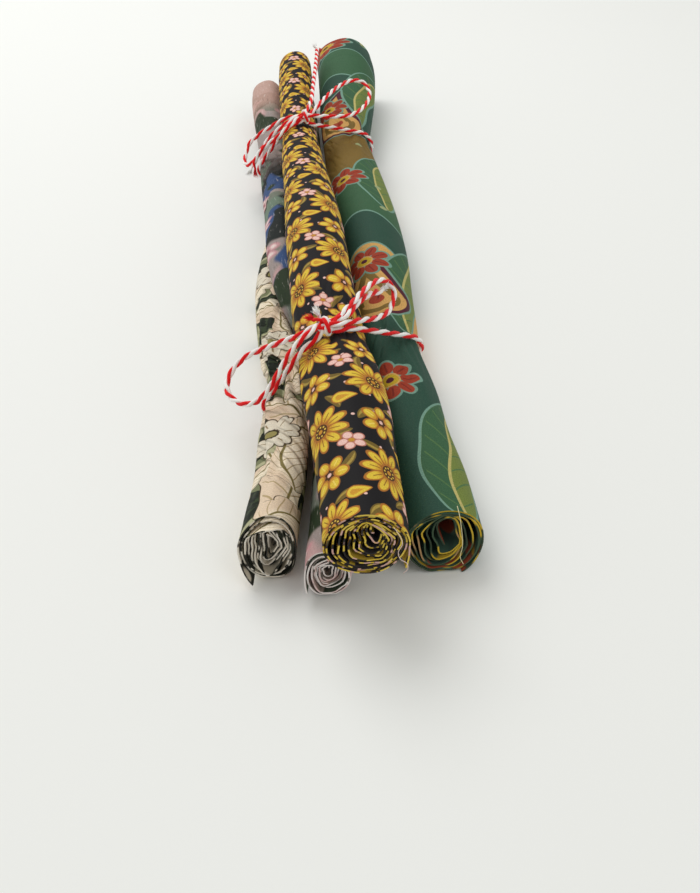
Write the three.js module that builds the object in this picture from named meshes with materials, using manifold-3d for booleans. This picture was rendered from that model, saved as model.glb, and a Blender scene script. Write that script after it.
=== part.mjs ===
// A bundle of four rolled cloths, held by two tied lengths of twine.
// Millimetres, +Z up, resting on Z = 0. The rolls lie along Y, with their near ends at -Y.
import * as THREE from 'three';
import { mergeVertices } from 'three/addons/utils/BufferGeometryUtils.js';
import Module from 'manifold-3d';

const wasm = await Module();
wasm.setup();

// Driving dimensions
const TWINE = 1.8;         // diameter of the two-ply twine
const TWINE_SIDES = 8;
const TWINE_STEP = 5.3;    // length of one step along the twine
const PRESS_GAP = 1.18;     // left between two rolls that press on each other
const TWINE_CLEAR = 0.85;  // left between the twine and the rolls that it holds
const ROLL_SIDES = 20;     // corners of a roll's section
const ROUNDING = 10;       // how tightly a pressed side turns into the round one
const REACH = 25;          // a roll still yields to a neighbour this far past its end
const FLAT = 0.95;         // the underside that lies on the surface is flat where it would be lower than this

const table = (columns, rows) => rows.map((row) => Object.fromEntries(columns.map((name, i) => [name, row[i]])));

// Spacing of the sections along Y, closer near the ties, and closer between them where a roll crosses others.
const SPACED = ['from', 'to', 'step'];
const SPACING = {
  crossing: table(SPACED, [[-229, -141, 22], [-137, -65, 8], [-52, 38, 18], [50, 86, 9], [94, 138, 8.8], [160, 262, 26]]),
  plain: table(SPACED, [[-229, -141, 22], [-137, -89, 8], [-70, 74, 24], [94, 138, 8.8], [160, 262, 26]]),
};

// One row for each section of a roll: y, the middle (x, z) and the half width and half height before it is pressed.
const ROW = ['y', 'x', 'z', 'rx', 'rz'];
const ROLLS = {
  roll_yellow: {
    color: 0xc9a53f, spacing: 'crossing', lobes: [0.012, 0.4, 0.008, 2.1],
    rows: table(ROW, [
      [-229, 0.0, 32.6, 13.8, 12.8], [-208, 0.6, 32.6, 14.0, 13.0], [-188, 0.7, 33.2, 14.5, 13.4], [-166, 0.8, 33.9, 15.4, 14.0],
      [-146, 0.0, 33.7, 15.7, 13.8], [-122, -1.2, 32.0, 14.2, 12.4], [-104, -2.0, 33.2, 14.6, 13.2], [-82, -2.5, 36.0, 13.9, 13.6],
      [-26, -2.5, 37.6, 14.0, 13.6], [18, -2.6, 36.2, 12.7, 12.6], [70, -3.0, 33.0, 11.4, 11.5], [103, -2.5, 31.6, 10.2, 10.2],
      [149, -1.7, 32.0, 10.7, 10.8], [206, 0.4, 32.0, 11.5, 11.6], [234, 1.5, 32.0, 11.2, 11.2],
    ]),
  },
  roll_green: {
    color: 0x4e7560, spacing: 'plain', lobes: [0.014, 1.9, 0.010, 0.5],
    rows: table(ROW, [
      [-211, 28.6, 12.0, 13.9, 12.6], [-182, 27.4, 12.8, 14.8, 13.5], [-158, 26.0, 13.2, 14.2, 13.9], [-133, 25.2, 13.5, 14.4, 14.1],
      [-104, 23.6, 15.6, 13.1, 12.4], [-78, 25.0, 13.9, 13.9, 13.9], [-50, 26.3, 13.8, 14.8, 14.4], [-15, 28.2, 14.5, 15.6, 15.1],
      [30, 28.2, 14.6, 16.4, 15.3], [80, 26.8, 14.4, 16.6, 14.8], [128, 26.1, 16.6, 15.4, 13.4], [165, 29.3, 18.0, 17.7, 15.6],
      [196, 32.9, 20.3, 19.4, 17.8], [235, 36.1, 23.2, 20.8, 19.6], [262, 36.8, 24.4, 20.3, 19.4],
    ]),
  },
  roll_cream: {
    color: 0xc9bea2, spacing: 'crossing', lobes: [0.020, 0.9, 0.014, 1.4],
    rows: table(ROW, [
      [-209, -29.6, 12.7, 10.5, 13.4], [-193, -27.3, 12.3, 10.3, 12.9], [-172, -23.6, 11.8, 10.3, 12.3], [-149, -21.1, 11.3, 10.2, 11.8],
      [-134, -19.2, 11.4, 10.0, 11.0], [-114, -17.2, 12.8, 9.6, 9.3], [-95, -19.3, 10.4, 10.0, 10.7], [-62, -21.6, 9.6, 10.2, 10.0],
      [-26, -20.0, 8.0, 11.8, 8.4], [14, -14.5, 8.0, 12.2, 8.4], [50, -7.0, 8.8, 11.2, 9.2], [90, 0.9, 9.9, 10.0, 9.9],
      [121, 3.9, 12.2, 9.4, 9.2], [150, 4.2, 10.2, 10.1, 10.2], [200, 4.4, 10.1, 10.5, 10.6], [245, 4.2, 10.0, 10.2, 10.4],
    ]),
  },
  roll_painterly: {
    color: 0x9a8f8c, spacing: 'crossing', lobes: [0.012, 2.6, 0.012, 0.2],
    rows: table(ROW, [
      [-219, -11.2, 10.7, 8.5, 11.2], [-192, -7.4, 10.2, 8.2, 10.7], [-160, -5.0, 9.7, 8.5, 10.2], [-136, -3.8, 9.5, 8.8, 9.6],
      [-112, -1.8, 11.4, 8.4, 8.2], [-92, -4.8, 13.8, 9.3, 8.6], [-66, -11.2, 19.3, 9.8, 8.2], [-26, -15.2, 23.6, 9.9, 8.3],
      [6, -15.6, 22.0, 9.5, 8.8], [38, -15.4, 18.0, 9.6, 9.4], [70, -15.7, 14.4, 9.8, 9.6], [111, -16.3, 13.4, 9.1, 9.4],
      [131, -16.3, 13.6, 9.8, 10.1], [157, -16.6, 14.0, 10.3, 10.7], [184, -17.3, 14.4, 11.1, 11.7], [213, -17.7, 14.8, 11.6, 12.3],
      [229, -17.7, 14.8, 11.0, 11.8],
    ]),
  },
};

// A tie's twine goes round the bundle in a leaning plane: y = base + lean * (top - z) + skew * x.
// Its knot, bow loops and two free ends are rows of points in the order that the twine runs.
const POINT = ['x', 'y', 'z'];
const TIES = {
  tie_front: {
    plane: { base: -127.5, lean: 0.42, top: 46.0, skew: 0.5 },
    knot: { x: -4.4, y: -127.8, z: 48.0, rx: 3.4, ry: 2.9, rz: 2.6 },
    loop_right: table(POINT, [
      [-2.4, -127.4, 48.6], [2.6, -121.8, 50.0], [7.2, -114.5, 50.2], [13.4, -102.4, 49.0], [20.0, -91.0, 46.0], [24.8, -86.0, 42.0],
      [26.9, -87.0, 38.4], [25.4, -93.6, 36.4], [22.5, -101.2, 37.0], [16.6, -111.0, 40.4], [8.9, -120.4, 45.4], [1.6, -126.4, 48.0],
    ]),
    loop_left: table(POINT, [
      [-8.0, -128.4, 48.4], [-14.1, -128.7, 45.4], [-20.2, -124.8, 40.6], [-27.5, -119.6, 34.6], [-34.4, -116.4, 29.4], [-39.2, -116.2, 25.2],
      [-42.2, -118.6, 21.8], [-43.4, -122.8, 19.4], [-42.0, -127.6, 18.2], [-38.4, -132.2, 18.4], [-34.4, -135.6, 20.0], [-30.6, -137.2, 23.0],
      [-27.4, -137.8, 27.0], [-24.8, -137.0, 31.0], [-21.8, -135.6, 35.6], [-18.6, -134.2, 40.4], [-14.6, -132.8, 45.0], [-9.6, -131.0, 48.4],
    ]),
    end_a: table(POINT, [
      [-3.0, -128.6, 49.0], [3.6, -123.2, 49.4], [8.0, -114.6, 48.6], [12.8, -105.0, 46.6], [17.0, -97.4, 44.0], [20.6, -91.6, 41.4],
    ]),
    end_b: table(POINT, [
      [-5.4, -127.4, 49.0], [-8.6, -124.4, 50.4], [-10.6, -121.8, 50.8], [-12.3, -119.4, 50.6],
    ]),
  },
  tie_far: {
    plane: { base: 99.6, lean: 0.534, top: 43.5, skew: 0.36 },
    knot: { x: 1.0, y: 101.2, z: 45.4, rx: 3.3, ry: 2.9, rz: 2.6 },
    loop_right: table(POINT, [
      [3.4, 103.4, 46.0], [9.6, 112.0, 48.4], [15.4, 121.6, 50.4], [24.6, 135.8, 51.6], [32.0, 143.6, 51.4], [38.2, 145.6, 49.6],
      [41.2, 138.6, 46.8], [39.6, 127.4, 44.8], [34.0, 116.6, 43.2], [27.4, 109.2, 43.0], [19.6, 105.0, 43.8], [10.0, 102.6, 45.2],
    ]),
    loop_left: table(POINT, [
      [-2.4, 102.6, 45.2], [-10.0, 106.6, 43.0], [-18.4, 109.4, 37.6], [-26.1, 111.6, 32.0], [-30.9, 112.6, 27.4], [-33.6, 108.4, 22.8],
      [-34.2, 101.4, 19.6], [-31.2, 97.2, 20.8], [-26.0, 98.2, 26.4], [-19.4, 101.4, 34.4], [-10.4, 100.8, 41.9],
    ]),
    end_a: table(POINT, [
      [1.8, 103.2, 46.6], [5.4, 118.0, 48.4], [7.6, 137.0, 48.8], [10.0, 160.0, 48.6], [12.8, 188.0, 48.2], [16.0, 222.0, 47.8],
    ]),
    end_b: table(POINT, [
      [-1.6, 99.4, 46.0], [-8.2, 93.8, 43.6], [-14.0, 92.4, 38.8], [-20.0, 92.8, 34.4], [-25.2, 92.4, 30.0], [-28.9, 90.4, 24.4], [-30.0, 88.6, 20.6],
    ]),
  },
};

// The middle and half sizes of a roll at y, on a smooth curve through its rows.
function sectionAt(rows, y) {
  const last = rows.length - 1;
  const at = Math.min(Math.max(y, rows[0].y), rows[last].y);
  let i = 0;
  while (i < last - 1 && rows[i + 1].y < at) i += 1;
  const span = rows[i + 1].y - rows[i].y;
  const u = (at - rows[i].y) / span;
  const slope = (k, name) => {
    const a = rows[Math.max(k - 1, 0)];
    const b = rows[Math.min(k + 1, last)];
    return ((b[name] - a[name]) / (b.y - a.y)) * span;
  };
  const value = (name) => (2 * u ** 3 - 3 * u ** 2 + 1) * rows[i][name] + (u ** 3 - 2 * u ** 2 + u) * slope(i, name)
    + (3 * u ** 2 - 2 * u ** 3) * rows[i + 1][name] + (u ** 3 - u ** 2) * slope(i + 1, name);
  return { x: value('x'), z: value('z'), rx: value('rx'), rz: value('rz') };
}

const radiusToward = (s, ux, uz) => 1 / Math.hypot(ux / s.rx, uz / s.rz);

// The corners of a roll's section at y: an ellipse, a little uneven, flattened where it meets a neighbour or the surface below.
function ring(name, y, sides) {
  const { rows, lobes } = ROLLS[name];
  const me = sectionAt(rows, y);
  const walls = [];
  for (const [other, { rows: theirs }] of Object.entries(ROLLS)) {
    if (other === name || y < theirs[0].y - REACH || y > theirs[theirs.length - 1].y + REACH) continue;
    const it = sectionAt(theirs, y);
    const d = Math.hypot(it.x - me.x, it.z - me.z);
    const nx = (it.x - me.x) / d;
    const nz = (it.z - me.z) / d;
    const mine = radiusToward(me, nx, nz);
    const its = radiusToward(it, -nx, -nz);
    walls.push({ nx, nz, t: (d * d + mine * mine - its * its) / (2 * d) - PRESS_GAP / 2 });
  }
  const corners = [];
  for (let k = 0; k < sides; k += 1) {
    const a = (2 * Math.PI * k) / sides;
    const ux = Math.cos(a);
    const uz = Math.sin(a);
    const uneven = 1 + lobes[0] * Math.sin(3 * a + lobes[1] + y / 70) + lobes[2] * Math.sin(5 * a + lobes[3] - y / 45) - lobes[0] - lobes[2];
    let sum = (radiusToward(me, ux, uz) * uneven) ** -ROUNDING;
    for (const { nx, nz, t } of walls) {
      const c = ux * nx + uz * nz;
      if (c > 0.02) sum += (Math.max(t, 1) / c) ** -ROUNDING;
    }
    const r = sum ** (-1 / ROUNDING);
    const z = me.z + uz * r;
    corners.push(new THREE.Vector3(me.x + ux * r, y, z < FLAT ? 0 : z));
  }
  return corners;
}

const planeY = (plane, x, z) => plane.base + plane.lean * (plane.top - z) + plane.skew * x;

// Where a roll's sections lie: its two ends, and the shared places between them.
function stations({ rows, spacing }) {
  const start = rows[0].y;
  const end = rows[rows.length - 1].y;
  const out = [start];
  for (const { from, to, step } of SPACING[spacing]) {
    for (let y = from; y <= to; y += step) if (y > start + 3 && y < end - 3) out.push(y);
  }
  out.push(end);
  return out;
}

function rollGeometry(name) {
  const at = stations(ROLLS[name]);
  const positions = [];
  const index = [];
  const n = ROLL_SIDES;
  for (const y of at) for (const p of ring(name, y, n)) positions.push(p.x, p.y, p.z);
  for (let s = 0; s < at.length - 1; s += 1) {
    for (let k = 0; k < n; k += 1) {
      const a = s * n + k;
      const b = s * n + ((k + 1) % n);
      index.push(a, b, a + n, b, b + n, a + n);
    }
  }
  [0, at.length - 1].forEach((s, cap) => {
    const middle = sectionAt(ROLLS[name].rows, at[s]);
    const centre = positions.length / 3;
    positions.push(middle.x, at[s], middle.z);
    for (let k = 0; k < n; k += 1) {
      const a = s * n + k;
      const b = s * n + ((k + 1) % n);
      index.push(...(cap === 0 ? [centre, b, a] : [centre, a, b]));
    }
  });
  const geometry = new THREE.BufferGeometry();
  geometry.setAttribute('position', new THREE.Float32BufferAttribute(positions, 3));
  geometry.setIndex(index);
  return outward(geometry);
}

// The signed volume says which way the faces point; they are turned if they point in.
function outward(geometry) {
  const p = geometry.getAttribute('position');
  const index = geometry.getIndex();
  const corner = (i) => new THREE.Vector3().fromBufferAttribute(p, index.getX(i));
  let volume = 0;
  for (let i = 0; i < index.count; i += 3) volume += corner(i).dot(corner(i + 1).cross(corner(i + 2)));
  if (volume < 0) {
    for (let i = 0; i < index.count; i += 3) {
      const b = index.getX(i + 1);
      index.setX(i + 1, index.getX(i + 2));
      index.setX(i + 2, b);
    }
  }
  return geometry;
}

// The convex outline of points in the XZ plane, counter-clockwise.
function outline(points) {
  const sorted = [...points].sort((p, q) => p.x - q.x || p.y - q.y);
  const half = (list) => {
    const out = [];
    for (const p of list) {
      while (out.length > 1) {
        const a = out[out.length - 2];
        const b = out[out.length - 1];
        if ((b.x - a.x) * (p.y - a.y) - (b.y - a.y) * (p.x - a.x) > 0) break;
        out.pop();
      }
      out.push(p);
    }
    return out.slice(0, -1);
  };
  return [...half(sorted), ...half(sorted.reverse())];
}

// The twine's way round the bundle, from the knot to the right, underneath and back: a stretched outline of the four
// sections in the tie's plane, grown by half the twine and its clearance.
function wrapPath({ plane, knot }) {
  const points = [];
  const grow = TWINE / 2 + TWINE_CLEAR;
  for (const name of Object.keys(ROLLS)) {
    for (let k = 0; k < 48; k += 1) {
      let y = plane.base;
      let p;
      for (let i = 0; i < 6; i += 1) {
        p = ring(name, y, 48)[k];
        y = planeY(plane, p.x, p.z);
      }
      for (let j = 0; j < 16; j += 1) {
        const a = (2 * Math.PI * j) / 16;
        points.push(new THREE.Vector2(p.x + grow * Math.cos(a), p.z + grow * Math.sin(a)));
      }
    }
  }
  const hull = outline(points);
  const loop = new THREE.CurvePath();
  hull.forEach((p, i) => loop.add(new THREE.LineCurve(p, hull[(i + 1) % hull.length])));
  const count = Math.round(loop.getLength() / TWINE_STEP);
  const round = loop.getSpacedPoints(count).slice(0, -1).map((p) => new THREE.Vector3(p.x, planeY(plane, p.x, p.y), p.y));
  // clockwise from the knot, seen from the near end
  round.reverse();
  const clear = round.filter((p) => p.z < knot.z - 6 || Math.abs(p.x - knot.x) > 4);
  const first = clear.findIndex((p, i) => {
    const before = clear[(i - 1 + clear.length) % clear.length];
    return p.z > plane.top - 12 && p.x > knot.x && before.x <= knot.x;
  });
  const ordered = [...clear.slice(first), ...clear.slice(0, first)];
  const centre = new THREE.Vector3(knot.x, knot.y, knot.z - 0.6);
  return [centre, ...ordered, centre.clone()];
}

function solidOf(geometry) {
  const bare = geometry.clone();
  bare.deleteAttribute('normal');
  bare.deleteAttribute('uv');
  const merged = outward(mergeVertices(bare, 1e-4));
  return new wasm.Manifold(new wasm.Mesh({
    numProp: 3,
    vertProperties: new Float32Array(merged.getAttribute('position').array),
    triVerts: new Uint32Array(merged.getIndex().array),
  }));
}

function twineSolid(points) {
  const section = new THREE.Shape(Array.from({ length: TWINE_SIDES }, (_, k) => {
    const a = (2 * Math.PI * (k + 0.5)) / TWINE_SIDES;
    return new THREE.Vector2((TWINE / 2) * Math.cos(a), (TWINE / 2) * Math.sin(a));
  }));
  const path = new THREE.CatmullRomCurve3(points.map((p) => new THREE.Vector3(p.x, p.y, p.z)), false, 'centripetal');
  const steps = Math.max(4, Math.round(path.getLength() / TWINE_STEP));
  return solidOf(new THREE.ExtrudeGeometry(section, { steps, extrudePath: path, bevelEnabled: false }));
}

// One tied length of twine: its turn round the bundle, the knot, two bow loops and two free ends, all one body.
function tieGeometry(tie) {
  const { knot } = tie;
  const centre = new THREE.Vector3(knot.x, knot.y, knot.z);
  const ball = new THREE.SphereGeometry(1, 12, 8);
  ball.scale(knot.rx, knot.ry, knot.rz);
  ball.translate(knot.x, knot.y, knot.z);
  let solid = solidOf(ball);
  solid = solid.add(twineSolid(wrapPath(tie)));
  for (const part of ['loop_right', 'loop_left']) solid = solid.add(twineSolid([centre, ...tie[part], centre.clone()]));
  for (const part of ['end_a', 'end_b']) solid = solid.add(twineSolid([centre, ...tie[part]]));
  const mesh = solid.getMesh();
  const geometry = new THREE.BufferGeometry();
  geometry.setAttribute('position', new THREE.Float32BufferAttribute(mesh.vertProperties, 3));
  geometry.setIndex(Array.from(mesh.triVerts));
  return geometry;
}

const bundle = new THREE.Group();
for (const [name, { color }] of Object.entries(ROLLS)) {
  const mesh = new THREE.Mesh(rollGeometry(name), new THREE.MeshStandardMaterial({ color, roughness: 0.85, metalness: 0 }));
  mesh.name = name;
  bundle.add(mesh);
}
// The origin is under the middle of the four rolls.
const box = new THREE.Box3().setFromObject(bundle);
for (const [name, tie] of Object.entries(TIES)) {
  const mesh = new THREE.Mesh(tieGeometry(tie), new THREE.MeshStandardMaterial({ color: 0xe07478, roughness: 0.9, metalness: 0 }));
  mesh.name = name;
  bundle.add(mesh);
}
bundle.position.set(-(box.min.x + box.max.x) / 2, -(box.min.y + box.max.y) / 2, 0);

const group = new THREE.Group();
group.add(bundle);
export default group;
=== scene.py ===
import math

import bpy
import numpy as np
from mathutils import Matrix, Vector


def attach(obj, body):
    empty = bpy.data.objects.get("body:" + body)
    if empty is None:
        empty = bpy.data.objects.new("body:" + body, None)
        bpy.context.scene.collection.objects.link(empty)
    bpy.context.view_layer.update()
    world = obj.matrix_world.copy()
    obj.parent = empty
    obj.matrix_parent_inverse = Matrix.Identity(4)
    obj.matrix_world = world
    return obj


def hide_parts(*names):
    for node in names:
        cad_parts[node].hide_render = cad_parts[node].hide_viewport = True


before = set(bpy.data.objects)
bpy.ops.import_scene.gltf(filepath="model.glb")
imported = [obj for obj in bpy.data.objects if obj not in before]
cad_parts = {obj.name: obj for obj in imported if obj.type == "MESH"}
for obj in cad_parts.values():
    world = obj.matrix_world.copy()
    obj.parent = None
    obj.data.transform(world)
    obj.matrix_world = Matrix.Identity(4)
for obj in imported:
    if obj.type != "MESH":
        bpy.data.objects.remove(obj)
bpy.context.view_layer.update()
MM = 0.001
SHIFT = np.array([-8.3244, -16.5, 0.0])  # from the tables' frame to the object's frame, mm

# ---------------------------------------------------------------------------------------------------------------------
# Sizes, mm. Each roll's rows are y, the middle (x, z) and the half width and half height before it is pressed.
# ---------------------------------------------------------------------------------------------------------------------
TWINE = 2.0
PRESS_GAP = 1.18
TWINE_CLEAR = 0.3
ROUNDING = 10
REACH = 25
CLOTH = 0.42

ROLLS = {
    "roll_yellow": dict(lobes=(0.012, 0.4, 0.008, 2.1), rows=[
        (-229, 0.0, 32.6, 13.8, 12.8), (-208, 0.6, 32.6, 14.0, 13.0), (-188, 0.7, 33.2, 14.5, 13.4), (-166, 0.8, 33.9, 15.4, 14.0),
        (-146, 0.0, 33.7, 15.7, 13.8), (-122, -1.2, 32.0, 14.2, 12.4), (-104, -2.0, 33.2, 14.6, 13.2), (-82, -2.5, 36.0, 13.9, 13.6),
        (-26, -2.5, 37.6, 14.0, 13.6), (18, -2.6, 36.2, 12.7, 12.6), (70, -3.0, 33.0, 11.4, 11.5), (103, -2.5, 31.6, 10.2, 10.2),
        (149, -1.7, 32.0, 10.7, 10.8), (206, 0.4, 32.0, 11.5, 11.6), (234, 1.5, 32.0, 11.2, 11.2)]),
    "roll_green": dict(lobes=(0.014, 1.9, 0.010, 0.5), rows=[
        (-211, 28.6, 12.0, 13.9, 12.6), (-182, 27.4, 12.8, 14.8, 13.5), (-158, 26.0, 13.2, 14.2, 13.9), (-133, 25.2, 13.5, 14.4, 14.1),
        (-104, 23.6, 15.6, 13.1, 12.4), (-78, 25.0, 13.9, 13.9, 13.9), (-50, 26.3, 13.8, 14.8, 14.4), (-15, 28.2, 14.5, 15.6, 15.1),
        (30, 28.2, 14.6, 16.4, 15.3), (80, 26.8, 14.4, 16.6, 14.8), (128, 26.1, 16.6, 15.4, 13.4), (165, 29.3, 18.0, 17.7, 15.6),
        (196, 32.9, 20.3, 19.4, 17.8), (235, 36.1, 23.2, 20.8, 19.6), (262, 36.8, 24.4, 20.3, 19.4)]),
    "roll_cream": dict(lobes=(0.020, 0.9, 0.014, 1.4), rows=[
        (-209, -29.6, 12.7, 10.5, 13.4), (-193, -27.3, 12.3, 10.3, 12.9), (-172, -23.6, 11.8, 10.3, 12.3), (-149, -21.1, 11.3, 10.2, 11.8),
        (-134, -19.2, 11.4, 10.0, 11.0), (-114, -17.2, 12.8, 9.6, 9.3), (-95, -19.3, 10.4, 10.0, 10.7), (-62, -21.6, 9.6, 10.2, 10.0),
        (-26, -20.0, 8.0, 11.8, 8.4), (14, -14.5, 8.0, 12.2, 8.4), (50, -7.0, 8.8, 11.2, 9.2), (90, 0.9, 9.9, 10.0, 9.9),
        (121, 3.9, 12.2, 9.4, 9.2), (150, 4.2, 10.2, 10.1, 10.2), (200, 4.4, 10.1, 10.5, 10.6), (245, 4.2, 10.0, 10.2, 10.4)]),
    "roll_painterly": dict(lobes=(0.012, 2.6, 0.012, 0.2), rows=[
        (-219, -11.2, 10.7, 8.5, 11.2), (-192, -7.4, 10.2, 8.2, 10.7), (-160, -5.0, 9.7, 8.5, 10.2), (-136, -3.8, 9.5, 8.8, 9.6),
        (-112, -1.8, 11.4, 8.4, 8.2), (-92, -4.8, 13.8, 9.3, 8.6), (-66, -11.2, 19.3, 9.8, 8.2), (-26, -15.2, 23.6, 9.9, 8.3),
        (6, -15.6, 22.0, 9.5, 8.8), (38, -15.4, 18.0, 9.6, 9.4), (70, -15.7, 14.4, 9.8, 9.6), (111, -16.3, 13.4, 9.1, 9.4),
        (131, -16.3, 13.6, 9.8, 10.1), (157, -16.6, 14.0, 10.3, 10.7), (184, -17.3, 14.4, 11.1, 11.7), (213, -17.7, 14.8, 11.6, 12.3),
        (229, -17.7, 14.8, 11.0, 11.8)]),
}
for _roll in ROLLS.values():
    _roll["rows"] = np.array(_roll["rows"], float)

# A tie goes round the bundle in a leaning plane, y = base + lean * (top - z) + skew * x; its bow is rows of points.
TIES = {
    "tie_front": dict(
        plane=(-127.5, 0.42, 46.0, 0.5), knot=(-4.4, -127.8, 48.0),
        loop_right=[(-2.4, -127.4, 48.6), (2.6, -121.8, 50.0), (7.2, -114.5, 50.2), (13.4, -102.4, 49.0), (20.0, -91.0, 46.0), (24.8, -86.0, 42.0),
                    (26.9, -87.0, 38.4), (25.4, -93.6, 36.4), (22.5, -101.2, 37.0), (16.6, -111.0, 40.4), (8.9, -120.4, 45.4), (1.6, -126.4, 48.0)],
        loop_left=[(-8.0, -128.4, 48.4), (-14.1, -128.7, 45.4), (-20.2, -124.8, 40.6), (-27.5, -119.6, 34.6), (-34.4, -116.4, 29.4), (-39.2, -116.2, 25.2),
                   (-42.2, -118.6, 21.8), (-43.4, -122.8, 19.4), (-42.0, -127.6, 18.2), (-38.4, -132.2, 18.4), (-34.4, -135.6, 20.0), (-30.6, -137.2, 23.0),
                   (-27.4, -137.8, 27.0), (-24.8, -137.0, 31.0), (-21.8, -135.6, 35.6), (-18.6, -134.2, 40.4), (-14.6, -132.8, 45.0), (-9.6, -131.0, 48.4)],
        end_a=[(-3.0, -128.6, 49.0), (3.6, -123.2, 49.4), (8.0, -114.6, 48.6), (12.8, -105.0, 46.6), (17.0, -97.4, 44.0), (20.6, -91.6, 41.4)],
        end_b=[(-5.4, -127.4, 49.0), (-6.7, -126.2, 50.1), (-7.8, -125.2, 50.8)]),
    "tie_far": dict(
        plane=(99.6, 0.534, 43.5, 0.36), knot=(1.0, 101.2, 45.4),
        loop_right=[(3.4, 103.4, 46.0), (9.6, 112.0, 48.4), (15.4, 121.6, 50.4), (24.6, 135.8, 51.6), (32.0, 143.6, 51.4), (38.2, 145.6, 49.6),
                    (41.2, 138.6, 46.8), (39.6, 127.4, 44.8), (34.0, 116.6, 43.2), (27.4, 109.2, 43.0), (19.6, 105.0, 43.8), (10.0, 102.6, 45.2)],
        loop_left=[(-2.4, 102.6, 45.2), (-10.0, 106.6, 43.0), (-18.4, 109.4, 37.6), (-26.1, 111.6, 32.0), (-30.9, 112.6, 27.4), (-33.6, 108.4, 22.8),
                   (-34.2, 101.4, 19.6), (-31.2, 97.2, 20.8), (-26.0, 98.2, 26.4), (-19.4, 101.4, 34.4), (-10.4, 100.8, 41.9)],
        end_a=[(1.8, 103.2, 46.6), (5.4, 118.0, 48.4), (7.6, 137.0, 48.8), (10.0, 160.0, 48.6), (12.8, 188.0, 48.2), (16.0, 222.0, 47.8)],
        end_b=[(-1.6, 99.4, 46.0), (-8.2, 93.8, 43.6), (-14.0, 92.4, 38.8), (-20.0, 92.8, 34.4), (-25.2, 92.4, 30.0), (-28.9, 90.4, 24.4), (-30.0, 88.6, 20.6)]),
}


def hermite(table, at):
    """The columns of a table at `at` of its first column, on a smooth curve through its rows."""
    x, val = table[:, 0], table[:, 1:]
    at = np.clip(np.atleast_1d(np.asarray(at, float)), x[0], x[-1])
    i = np.clip(np.searchsorted(x, at) - 1, 0, len(x) - 2)
    slope = np.empty_like(val)
    slope[1:-1] = (val[2:] - val[:-2]) / (x[2:] - x[:-2])[:, None]
    slope[0] = (val[1] - val[0]) / (x[1] - x[0])
    slope[-1] = (val[-1] - val[-2]) / (x[-1] - x[-2])
    h = (x[i + 1] - x[i])[:, None]
    u = (at[:, None] - x[i][:, None]) / h
    return ((2 * u ** 3 - 3 * u ** 2 + 1) * val[i] + (u ** 3 - 2 * u ** 2 + u) * h * slope[i]
            + (3 * u ** 2 - 2 * u ** 3) * val[i + 1] + (u ** 3 - u ** 2) * h * slope[i + 1])


def radius_toward(s, ux, uz):
    return 1 / np.hypot(ux / s[2], uz / s[3])


def ring_radius(name, y, ang):
    """The middle of a roll's section at y, and its radius at each angle, pressed by its neighbours."""
    roll = ROLLS[name]
    me = hermite(roll["rows"], y)[0]
    ux, uz = np.cos(ang), np.sin(ang)
    a, pa, b, pb = roll["lobes"]
    uneven = 1 + a * np.sin(3 * ang + pa + y / 70) + b * np.sin(5 * ang + pb - y / 45) - a - b
    total = (radius_toward(me, ux, uz) * uneven) ** -ROUNDING
    for other, theirs in ROLLS.items():
        if other == name or not theirs["rows"][0, 0] - REACH <= y <= theirs["rows"][-1, 0] + REACH:
            continue
        it = hermite(theirs["rows"], y)[0]
        d = math.hypot(it[0] - me[0], it[1] - me[1])
        nx, nz = (it[0] - me[0]) / d, (it[1] - me[1]) / d
        mine, its = radius_toward(me, nx, nz), radius_toward(it, -nx, -nz)
        t = max((d * d + mine * mine - its * its) / (2 * d) - PRESS_GAP / 2, 1)
        c = ux * nx + uz * nz
        total = total + np.where(c > 0.02, (t / np.maximum(c, 0.02)) ** -ROUNDING, 0)
    return me, total ** (-1 / ROUNDING)


def plane_y(plane, x, z):
    return plane[0] + plane[1] * (plane[2] - z) + plane[3] * x


def outline(points):
    """The convex outline of points, counter-clockwise."""
    pts = sorted(map(tuple, points))

    def half(seq):
        out = []
        for p in seq:
            while len(out) > 1 and (out[-1][0] - out[-2][0]) * (p[1] - out[-2][1]) - (out[-1][1] - out[-2][1]) * (p[0] - out[-2][0]) <= 0:
                out.pop()
            out.append(p)
        return out[:-1]
    return np.array(half(pts) + half(pts[::-1]))


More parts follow.
